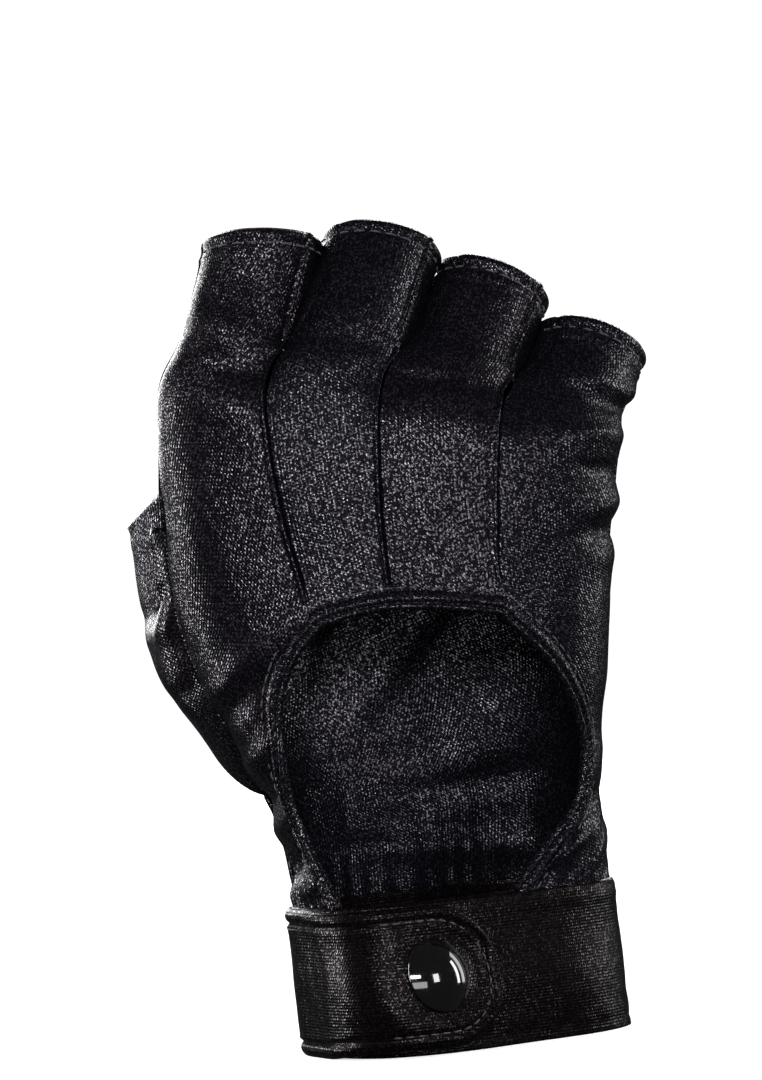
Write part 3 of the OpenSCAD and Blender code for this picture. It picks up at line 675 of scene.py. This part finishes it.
def gussetSide(k, right, w, s, out):
    # One leg's own side; at the crotch it meets its neighbour's midway
    b, f = sideArc + (180 - 2 * sideArc) * w, k if right else k - 1
    own = filled(k, b if right else -b, s, out, f)
    other = filled(k + 1 if right else k - 1, -b if right else b, s, out, f)
    return own + join(s)[..., None] * (other - own)


def gussetPoint(k, right, w, v):
    # Follows the finger's side, is pulled to both cut edges and closes in a web at the crotch
    f, e, out = (k if right else k - 1), (1.0 if right else 0.0), gussets["out"]
    sBack, sPalm = sleeveHeight(True, k, e, v), sleeveHeight(False, k, e, v)
    s = sBack + (sPalm - sBack) * w
    back = stripPoint(True, k, e, sBack, out) - gussetSide(k, right, 0 * w, sBack + 0 * w, out)
    front = stripPoint(False, k, e, sPalm, out) - gussetSide(k, right, 0 * w + 1, sPalm + 0 * w, out)
    web = 2 * join(s) * out * np.sqrt(np.maximum(4 * w * (1 - w), 0))
    lie = (fingerFrame(f)[1] + fingerFrame(f + 1)[1]) / 2
    return (gussetSide(k, right, w, s, out) + ((1 - w) ** 2)[..., None] * back + (w ** 2)[..., None] * front
            + web[..., None] * lie)


def fourchette(k):
    # One strip: down the side of a finger, round the crotch and up the side of the next
    rows, columns = gussets["rows"], gussets["columns"]
    w = np.linspace(0, 1, columns + 1)[None, :] + np.zeros((rows + 1, 1))
    v = np.linspace(0, 1, rows + 1)[:, None] + 0 * w
    down, up = v[::-1][:-1], v
    p = np.concatenate([gussetPoint(k, True, w[1:], down), gussetPoint(k + 1, False, w, up)], 0)
    fromHem = np.concatenate([(1 - down) * sleeveLength(k), (1 - up) * sleeveLength(k + 1)], 0)
    across = arcLengths(p, 1)
    edge = np.minimum(across, across[:, -1:] - across)
    share, height = np.concatenate([w[1:], w], 0), np.concatenate([down, up], 0)
    full = .65 * np.sin(np.pi * share) * np.sin(np.pi * np.clip(height * 1.15, 0, 1))
    rise = hemProfile(fromHem) + ridge(edge, 0, .3, -.35) + full
    p = p - gridNormals(p) * rise[..., None]
    name = fingers["names"][k] + fingers["names"][k + 1].capitalize() + "Fourchette"
    return addPiece(name, p.reshape(-1, 3), gridFaces(len(p), columns + 1, flip=True), gridUv(p, 30),
                    cloth["satin"], wall=.7, node=gussets["nodes"][k])


gussetPieces = [fourchette(k) for k in range(3)]

# Thumb sleeve
thumbSpec = {"columns": 96, "rows": 64, "girth": 78, "cut": (.082, .062), "area": .0031}


def thumbBase(t, out):
    # t runs once round the thumb hole: up the back edge of the hole and down its palm edge
    t = np.asarray(t, float) % 1
    onBack = t < .5
    s = thumb["low"] + (thumb["high"] - thumb["low"]) * np.where(onBack, 2 * t, 2 - 2 * t)
    back, front = stripPoint(True, 0, 0 * t, s, out), stripPoint(False, 0, 0 * t, s, out)
    return np.where(onBack[..., None], back, front)


def thumbPath(w):
    # Cubic from the middle of the hole, out and up to the hem
    middle = (thumbBase(.25, 0) + thumbBase(.75, 0)) / 2
    hem = np.array(thumb["hem"])
    a, b, c, d = middle, middle + np.array([-11, 7, 2]), hem + np.array([1, -3, -24]), hem
    w = np.asarray(w, float)[..., None]
    return (1 - w) ** 3 * a + 3 * (1 - w) ** 2 * w * b + 3 * (1 - w) * w * w * c + w ** 3 * d


def thumbPoint(t, w, out):
    # The hole's outline turns into a slanted ring while it is carried along the path
    middle = (thumbBase(.25, 0) + thumbBase(.75, 0)) / 2
    f, r, e = np.radians(thumb["start"] + 360 * t), hand["thumbRadius"] + out, smooth(w * 1.1)[..., None]
    ring = point(r * np.cos(f), r * np.sin(f), thumb["shear"] * r * np.cos(f))
    return thumbPath(w) + (thumbBase(t, out) - middle) * (1 - e) + ring * e


def thumbSleeve():
    # A tube from the hole to the hem; its folds begin a little away from the hole
    columns, rows = thumbSpec["columns"], thumbSpec["rows"]
    t, w = np.meshgrid(np.arange(columns) / columns, np.linspace(0, 1, rows + 1))
    p = thumbPoint(t, w, outer)
    up = arcLengths(p, 0)
    flat = p.reshape(-1, 3)
    rise = (foldHeight(flat, thumbFolds) + ripple(flat, 71, 12, .2)).reshape(t.shape)
    rise = (rise + hemProfile(up[-1:] - up)) * smooth(up / 3)
    p = p + gridNormals(p, ring=True) * rise[..., None]
    uv = np.stack([t * thumbSpec["girth"], up], -1).reshape(-1, 2)
    return addPiece("thumbSleeve", p.reshape(-1, 3), gridFaces(rows + 1, columns, ring=True), uv,
                    cloth["satin"], wall=.8, node="thumb_sleeve")


thumbPiece = thumbSleeve()
print("fingers and thumb ready")


# Cords of cloth and thread along a path
def sweep(path, normals, profile):
    # Carries a flat profile of (sideways, outwards) pairs along a path
    ahead = np.gradient(path, axis=0)
    side = np.cross(ahead / np.linalg.norm(ahead, axis=1, keepdims=True), normals)
    side /= np.linalg.norm(side, axis=1, keepdims=True)
    return path[:, None] + profile[None, :, :1] * side[:, None] + profile[None, :, 1:] * normals[:, None]


def outlineAngles(count):
    # The cut edge of the back opening: up the thumb side, over the arch, down the little finger side
    up = np.linspace(cuffHeight - .8, opening["top"], count)
    u = np.linspace(0, 1, count)[1:]
    sides = [np.stack([curve(seam[1], up), up], -1)]
    for k in (1, 2):
        s = opening["top"] + arch(k, u)
        sides.append(np.stack([curve(seam[k], s) * (1 - u) + curve(seam[k + 1], s) * u, s], -1))
    down = up[::-1][1:]
    sides.append(np.stack([curve(seam[3], down), down], -1))
    return np.concatenate(sides)


def evenly(p, count):
    # The same line with points at even distances
    length = arcLengths(p[None], 1)[0]
    at = np.linspace(0, length[-1], count)
    return np.stack([np.interp(at, length, p[:, i]) for i in range(p.shape[1])], -1)


def bodyNormals(angle, s):
    # Cross product of short steps round and along the hand
    du = bodyPoint(angle + .5, s, outer) - bodyPoint(angle - .5, s, outer)
    ds = bodyPoint(angle, s + .5, outer) - bodyPoint(angle, s - .5, outer)
    n = np.cross(du, ds)
    return n / np.linalg.norm(n, axis=-1, keepdims=True)


binding = {
    "points": 320, "stitchPoints": 300, "cut": (.010, .145), "area": .0008,
    # (sideways, outwards) from the cut edge: two rolls with a groove between them, turned under at both sides
    "profile": [(-.45, -.2), (-.30, .35), (0, .55), (.35, .82), (.75, .95), (1.1, .78), (1.32, .42),
                (1.5, .40), (1.72, .74), (2.05, .88), (2.4, .66), (2.6, .15), (2.6, -.35), (2.3, -.75),
                (1.4, -.85), (.4, -.8)],
}


def softened(line, passes):
    # Rounds the corners of a line by averaging neighbours, the ends kept
    line = line.copy()
    for _ in range(passes):
        line[1:-1] = (line[:-2] + 2 * line[1:-1] + line[2:]) / 4
    return line


def openingPath(count):
    # The opening's cut edge as even points on the cloth, with the cloth's normals there
    q = outlineAngles(90)
    line = softened(evenly(np.concatenate([bodyPoint(q[:, 0], q[:, 1], outer), q], 1), count), 10)
    return line[:, :3], bodyNormals(line[:, 3], line[:, 4])


def openingBinding():
    # The profile is swept along the cut edge and wobbles a little
    path, n = openingPath(binding["points"])
    profile = np.array(binding["profile"])
    p = sweep(path + n * ripple(path, 91, 5, .05)[:, None], n, profile)
    rows, columns = p.shape[:2]
    along, around = arcLengths(path[None], 1)[0], arcLengths(profile[None], 1)[0]
    uv = np.stack([np.repeat(along[:, None], columns, 1), np.repeat(around[None], rows, 0)], -1)
    return addPiece("openingBinding", p.reshape(-1, 3), tubeFaces(rows, columns, flip=False),
                    uv.reshape(-1, 2), cloth["bindingSatin"], node="opening_binding")


bindingPiece = openingBinding()

# Cuff
cuff = {
    "thickness": 1.4, "hinge": -57, "underlap": -49, "snap": -33, "snapInset": 12, "tabHeight": 23.5,
    "stackGap": 1.8, "tabFrom": -150, "leanSide": .24, "leanUp": .20, "bandCut": (.026, .158),
    "tabCut": (.025, .062),
}
snapHeight = cuffHeight / 2 + .25
tabOut = cuff["thickness"] + cuff["stackGap"]


def cuffPoint(a, z, out):
    # A point round the wrist, its height kept level
    p = bodyPoint(a, z, out)
    return np.concatenate([p[..., :2], np.broadcast_to(np.asarray(z, float), p.shape[:-1])[..., None]], -1)


twoDegrees = cuffPoint(cuff["snap"] + 1, snapHeight, tabOut) - cuffPoint(cuff["snap"] - 1, snapHeight, tabOut)
tabMm = np.linalg.norm(twoDegrees) / 2
tabEnd = cuff["snap"] + cuff["snapInset"] / tabMm


def cuffBand():
    # A flattened tube of cloth: up the outside, over the top fold and down the inside
    columns = 300
    a = np.linspace(cuff["underlap"] - 1, 360 + cuff["underlap"] - 1.2, columns)
    t = cuff["thickness"]
    up = np.linspace(0, 1, 34)
    edge = np.sin(np.linspace(0, np.pi, 9))[1:-1]
    outside = np.stack([up, t + .08 + 0 * up], -1)
    top = np.stack([1 + .012 * edge, np.linspace(t + .05, -.1, 9)[1:-1]], -1)
    inside = np.stack([up[::-1], -.12 + 0 * up], -1)
    bottom = np.stack([-.028 * edge, np.linspace(-.1, t + .05, 9)[1:-1]], -1)
    section = np.concatenate([outside, top, inside, bottom])
    share, out = section[:, 0][None], section[:, 1][None]
    angle = a[:, None] + 0 * share
    z = share * cuffHeight + 0 * angle
    p = cuffPoint(angle, z, 0)
    n = bodyNormals(angle, np.clip(z, 1, 24))
    flat = p.reshape(-1, 3)
    bulge = .5 * np.sin(np.pi * np.clip(share, 0, 1)) + ridge(share, .93, .05, .35)
    rise = (ripple(flat, 101, 15, .22) + ripple(flat, 102, 5, .05)).reshape(angle.shape) + bulge
    dent = ridge(z, 1.8, .35, -.3) + ridge(z, cuffHeight - 1.8, .35, -.3)
    rise = np.where(out > .7, rise + dent, rise * .4)
    p = p + n * (out + rise)[..., None]
    rows, width = p.shape[:2]
    around = arcLengths(cuffPoint(a[None], 12., 1.4), 1)[0]
    uv = np.stack([around[:, None] + 0 * z, z + np.where(out > .7, 0, 60)], -1).reshape(-1, 2)
    return addPiece("cuffBand", p.reshape(-1, 3), tubeFaces(rows, width), uv, cloth["cuffSatin"],
                    node="cuff_band")


def snapFrame():
    # Middle of the snap on the cuff's inner face, with its outward and sideways directions
    p = cuffPoint(cuff["snap"], snapHeight, 0)
    t = cuffPoint(cuff["snap"] + 1, snapHeight, 0) - cuffPoint(cuff["snap"] - 1, snapHeight, 0)
    side = unit(t * np.array([1, 1, 0]))
    return p, side, np.array([side[1], -side[0], 0])


def snapLean(p):
    # The pulled tab sits askew on the snap: it sinks towards its end and its top edge, fading with distance
    centre, side, _ = snapFrame()
    away = p - centre
    along, up = away @ side, away[..., 2]
    r = np.sqrt(along ** 2 + up ** 2)
    return -(cuff["leanSide"] * along + cuff["leanUp"] * up) * np.exp(-(r / 10.5) ** 4)


def tabRise(a):
    # The tab lies on the cuff behind the hinge and climbs gently over the underlap and the snap's parts
    low = cuff["thickness"] + .22
    return low + (tabOut - low) * smooth((a + 112) / 68)


def tabHalf(x):
    # Half the tab's height at a distance from its end, where it closes in a half circle
    r = cuff["tabHeight"] / 2
    return np.where(x >= r, r, np.sqrt(np.maximum(r * r - (r - x) ** 2, 0)))


def cuffTab():
    # Front and lining of the tab: columns run to the round end, where the height closes in a half circle
    columns, rows = 190, 40
    share = np.linspace(0, 1, columns)
    a = cuff["tabFrom"] + (tabEnd - cuff["tabFrom"]) * (1 - (1 - share) ** 1.6)
    x = (tabEnd - a) * tabMm
    tall = 1 - smooth((a + 95) / 45)
    half = np.maximum(tabHalf(x), .5) + tall * (cuffHeight / 2 + .1 - cuff["tabHeight"] / 2)
    centreHeight = snapHeight + tall * (cuffHeight / 2 - snapHeight)
    v = np.sin(np.linspace(-np.pi / 2, np.pi / 2, rows))
    roll = np.sqrt(np.maximum(1 - np.abs(v) ** 14, 0))
    front = np.stack([v, .7 + .75 * roll], -1)
    lining = np.stack([v[::-1], .7 - .7 * roll], -1)[1:-1]
    section = np.concatenate([front, lining])
    angle = a[:, None] + 0 * section[:, 0][None]
    z = centreHeight[:, None] + half[:, None] * section[:, 0][None]
    p = cuffPoint(angle, z, 0)
    n = bodyNormals(angle, np.clip(z, 1, 24))
    out = tabRise(a)[:, None] + section[:, 1][None]
    edge = np.minimum(half[:, None] * (1 - np.abs(section[:, 0][None])), x[:, None])
    flat = p.reshape(-1, 3)
    soft = (ripple(flat, 111, 13, .15) + ripple(flat, 112, 4.5, .04)).reshape(angle.shape)
    sewn = ridge(edge, 1.25, .8, .30) + ridge(edge, sewing["tabInset"], .32, -.42) + ridge(edge, 3.3, .5, .16)
    sink = ridge(np.linalg.norm(p - cuffPoint(cuff["snap"], snapHeight, 0), axis=-1), 6.4, 1.3, -.26)
    outside = (section[:, 1] > .7)[None]
    p = p + n * (out + snapLean(p) + np.where(outside, soft + sewn + sink, 0))[..., None]
    around = arcLengths(cuffPoint(a[None], 12., 2.), 1)[0]
    uv = np.stack([around[:, None] + 0 * z, z + np.where(outside, 0, 60)], -1).reshape(-1, 2)
    piece = addPiece("cuffTab", p.reshape(-1, 3), tubeFaces(*p.shape[:2]), uv, cloth["cuffSatin"], body=None,
                     node="cuff_tab")
    start, end = cuffPoint(cuff["hinge"] - 9, snapHeight, 2.), cuffPoint(cuff["hinge"] + 5, snapHeight, 2.)
    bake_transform(piece)
    return piece


def tabInterfacing():
    # A stiff layer inside the tab: a flat tube that follows the tab's own rise and lean
    columns, rows = 60, 14
    a = cuff["hinge"] + 6 + (tabEnd - 3 - cuff["hinge"] - 6) * np.sin(np.linspace(0, np.pi / 2, columns))
    x = (tabEnd - a) * tabMm
    half = np.maximum(tabHalf(x) - 2.2, .4)
    v = np.linspace(-1, 1, rows)
    section = np.concatenate([np.stack([v, .92 + 0 * v], -1), np.stack([v[::-1], .50 + 0 * v], -1)])
    angle = a[:, None] + 0 * section[:, 0][None]
    z = snapHeight + half[:, None] * section[:, 0][None]
    p = cuffPoint(angle, z, 0)
    n = bodyNormals(angle, np.clip(z, 1, 24))
    p = p + n * (tabRise(a)[:, None] + section[:, 1][None] + snapLean(p))[..., None]
    uv = np.stack([x[:, None] + 0 * z, z], -1).reshape(-1, 2)
    return addPiece("tabInterfacing", p.reshape(-1, 3), tubeFaces(*p.shape[:2]), uv, felt, body="tab",
                    node="tab_interfacing")


bandPiece, tabPiece = cuffBand(), cuffTab()
tabInterfacing()
print("cuff ready")

# Snap cap
snap = {"capDiameter": 12.5, "capHeight": 3.2, "rim": .6, "floor": 4.4}


def snapCap():
    # A turned dome: the profile goes from the underside, round the rolled rim and over the top
    r, h, rim = snap["capDiameter"] / 2, snap["capHeight"], snap["rim"]
    dome = (r * r + (h - rim) ** 2) / (2 * (h - rim))
    reach = r * np.cos(np.linspace(0, np.pi / 2, 26))
    top = np.stack([reach, h - dome + np.sqrt(np.maximum(dome * dome - reach ** 2, 0))], -1)
    turned = [(0.001, .25), (r - .9, .25), (r - .5, .02), (r - .2, .0), (r - .04, .14), (r, .34)]
    profile = np.concatenate([turned, top])
    profile[-1, 0] = .001
    p, side, out = snapFrame()
    p = p + (snap["floor"] + .25) * out - .7 * side + np.array([0, 0, .5])
    axis = unit(out + cuff["leanSide"] * 1.7 * side + cuff["leanUp"] * 1.5 * np.array([0, 0, 1.]))
    side = unit(side - (side @ axis) * axis)
    up = np.cross(side, axis)
    f = np.linspace(0, 2 * np.pi, 97)[:-1]
    ring = np.cos(f)[:, None] * side + np.sin(f)[:, None] * up
    verts = p + profile[:, 1][:, None, None] * axis + profile[:, 0][:, None, None] * ring[None]
    return addPiece("snapCap", verts.reshape(-1, 3), gridFaces(*verts.shape[:2], ring=True), None, enamel,
                    body="tab", node="snap_cap")


snapCap()


# Stitching
def stitches(name, lines, body, node, length=2.0, gap=.75, thick=.19):
    # Each stitch is a short thread that dips into the cloth at both ends: a lens-shaped tube of six sides
    verts, faces, made = [], [], 0
    t, f = np.linspace(0, 1, 6), np.linspace(0, 2 * np.pi, 7)[:-1]
    thin = thick * np.sqrt(np.sin(np.pi * np.clip(t, .04, .96)))
    for path, normals in lines:
        lengths = arcLengths(path[None], 1)[0]
        count = max(int(lengths[-1] / (length + gap)), 1)
        at = (np.arange(count) * lengths[-1] / count)[:, None] + t[None] * length
        p = np.stack([np.interp(at, lengths, path[:, i]) for i in range(3)], -1)
        n = np.stack([np.interp(at, lengths, normals[:, i]) for i in range(3)], -1)
        n /= np.linalg.norm(n, axis=-1, keepdims=True)
        ahead = p[:, -1:] - p[:, :1]
        ahead = ahead / np.linalg.norm(ahead, axis=-1, keepdims=True)
        side = np.cross(ahead + 0 * n, n)
        p = p + n * (.16 * np.sin(np.pi * t) - .12)[None, :, None]
        ring = np.cos(f)[:, None] * side[:, :, None] + np.sin(f)[:, None] * n[:, :, None]
        tube = p[:, :, None] + ring * thin[None, :, None, None]
        first = (made + np.arange(count) * 36)[:, None]
        faces += (gridFaces(6, 6, ring=True)[None] + first[..., None]).reshape(-1, 4).tolist()
        faces += (np.arange(6)[::-1] + first).tolist() + (np.arange(30, 36) + first).tolist()
        verts.append(tube.reshape(-1, 3))
        made += count * 36
    return addPiece(name, np.concatenate(verts), faces, None, threadBlack, body=body, node=node)


def hemLines():
    # One ring below each finger's hem and one below the thumb's
    lift, lines, b, t = outer + .12, [], np.linspace(0, 360, 121), np.linspace(0, 1, 141)
    for k in range(4):
        s = hemHeight(k, b) - sewing["hemInset"]
        lines.append((fingerPoint(k, b, s, lift), fingerPoint(k, b, s, 2) - fingerPoint(k, b, s, 1)))
    w = 1 - sewing["hemInset"] / 40 + 0 * t
    lines.append((thumbPoint(t, w, lift), thumbPoint(t, w, 2) - thumbPoint(t, w, 1)))
    return lines


def openingLines():
    # One row beside the binding, a little inside the cloth
    path, n = openingPath(binding["stitchPoints"])
    ahead = np.gradient(path, axis=0)
    side = np.cross(ahead / np.linalg.norm(ahead, axis=1, keepdims=True), n)
    return [(path - side * sewing["openingInset"] + n * .1, n)]


def tabLines():
    # Along the lower edge, round the end and back along the upper edge
    r = cuff["tabHeight"] / 2 - sewing["tabInset"]
    f, straight = np.radians(np.linspace(-90, 90, 60)), np.linspace(-9, 0, 20)[:-1]
    x = np.concatenate([straight, r * np.cos(f), straight[::-1]])
    z = snapHeight + np.concatenate([0 * straight - r, r * np.sin(f), 0 * straight + r])
    a = tabEnd - (cuff["tabHeight"] / 2 - x) / tabMm
    path, n = cuffPoint(a, z, 0), bodyNormals(a, np.clip(z, 1, 24))
    return [(path + n * (tabRise(a) + snapLean(path) + cuff["thickness"] + .02)[:, None], n)]


stitches("hemStitching", hemLines(), "glove", "hem_stitching")
stitches("openingStitching", openingLines(), "glove", "opening_stitching", length=1.6, gap=.5, thick=.15)
stitches("tabStitching", tabLines(), "tab", "tab_stitching", length=1.5, gap=.5, thick=.16)
print("stitching ready")

# Studio
studio = {
    "floor": (.90, .90, .91, 1), "world": (.9, .92, 1, 1), "worldStrength": .05,
    "distance": 900, "roll": 4.6, "sensor": 36, "seenHeight": 183.6, "middle": (-.0156, .0847),
    "lights": [  # name, azimuth, elevation, distance in metres, width, height, watts
        ("key", -6, 17, 1.1, .50, .12, 6.4),
        ("front", 4, -1, 1.3, .75, .30, 3.2),
        ("right", 100, 10, 1.0, .14, .6, 3.0),
        ("beside", 42, 10, 1.2, .26, .34, 3.4),
        ("index", -46, 38, 1.0, .20, .12, 1.1),
        ("rim", 118, 12, 1.0, .2, .7, 1.6),
        ("left", -104, 5, .9, .16, .6, 6.5),
        ("palm", -160, 16, 1.1, .5, .5, 7.0),
        ("back", 165, 26, 1.2, .5, .4, 6.0),
    ],
}


def studioLights():
    # Each lamp stands away from the middle of the glove by its two angles and its distance, and faces it
    centre = np.array([-.006, 0, .07])
    for name, azimuth, elevation, distance, width, height, watts in studio["lights"]:
        a, e = math.radians(azimuth), math.radians(elevation)
        out = np.array([math.sin(a) * math.cos(e), -math.cos(a) * math.cos(e), math.sin(e)])
        lamp = bpy.data.lights.new(name, "AREA")
        lamp.shape, lamp.size, lamp.size_y, lamp.energy = "RECTANGLE", width, height, watts
        holder = bpy.data.objects.new(name, lamp)
        holder.location = centre + out * distance
        holder.rotation_euler = Vector(-out).to_track_quat("-Z", "Y").to_euler()
        holder.visible_camera = False
        bpy.context.scene.collection.objects.link(holder)


def studioFloor():
    # A round floor that curves up into a wall all round, pale and glowing softly, brighter further out; the
    # weaker glow near the glove is painted shade round where it stands
    flat, cove, high, columns = 1.7, .5, 2.2, 72
    f = np.linspace(0, np.pi / 2, 15)
    r = np.concatenate([[.0005, .2, .6, 1.2], flat + cove * np.sin(f), [flat + cove]])[:, None]
    z = np.concatenate([[0, 0, 0, 0], cove * (1 - np.cos(f)), [high]])[:, None]
    a = np.linspace(0, 2 * np.pi, columns, endpoint=False)[None]
    verts = np.stack([r * np.cos(a), r * np.sin(a), z + 0 * a], -1)
    material, tree, shader = newMaterial("paleFloor")
    floor = addPiece("floor", verts.reshape(-1, 3) / mm, gridFaces(len(r), columns, ring=True), None,
                     material, body=None)
    shader.inputs["Base Color"].default_value = studio["floor"]
    shader.inputs["Roughness"].default_value = .9
    shader.inputs["Emission Color"].default_value = (1, 1, 1, 1)
    place, away = tree.nodes.new("ShaderNodeTexCoord"), tree.nodes.new("ShaderNodeVectorMath")
    glowWithPaintedShade = tree.nodes.new("ShaderNodeMapRange")
    away.operation, glowWithPaintedShade.interpolation_type = "LENGTH", "SMOOTHSTEP"
    # Painted shade: the glow is weaker near the middle, where the glove stands, so the floor round it is
    # painted greyer; the lamps' real shadow falls there too
    for key, number in zip(("From Min", "From Max", "To Min", "To Max"), (.06, .5, .62, 1)):
        glowWithPaintedShade.inputs[key].default_value = number
    tree.links.new(place.outputs["Object"], away.inputs[0])
    tree.links.new(away.outputs["Value"], glowWithPaintedShade.inputs["Value"])
    tree.links.new(glowWithPaintedShade.outputs["Result"], shader.inputs["Emission Strength"])
    floor.visible_glossy = floor.visible_diffuse = False


def studioCamera():
    # The view is level, and the camera is rolled so that the glove leans to the left
    camera = bpy.data.cameras.new("camera")
    camera.sensor_fit, camera.sensor_height = "VERTICAL", studio["sensor"]
    holder = bpy.data.objects.new("camera", camera)
    bpy.context.scene.collection.objects.link(holder)
    distance, middle, roll = studio["distance"] * mm, studio["middle"], math.radians(studio["roll"])
    camera.lens = studio["sensor"] * studio["distance"] / studio["seenHeight"]
    camera.clip_start, camera.clip_end = .05, 20
    aimX = middle[0] * math.cos(roll) + middle[1] * math.sin(roll)
    aimZ = -middle[0] * math.sin(roll) + middle[1] * math.cos(roll)
    holder.location = (aimX, -distance, aimZ)
    holder.rotation_euler = (math.radians(90), roll, 0)
    bpy.context.scene.camera = holder


studioCamera()
studioLights()
studioFloor()
world = bpy.data.worlds.new("studio")
bpy.context.scene.world = world
world.use_nodes = True
world.node_tree.nodes["Background"].inputs[0].default_value = studio["world"]
world.node_tree.nodes["Background"].inputs[1].default_value = studio["worldStrength"]
bpy.context.scene.view_settings.view_transform = "Standard"
print("studio ready")
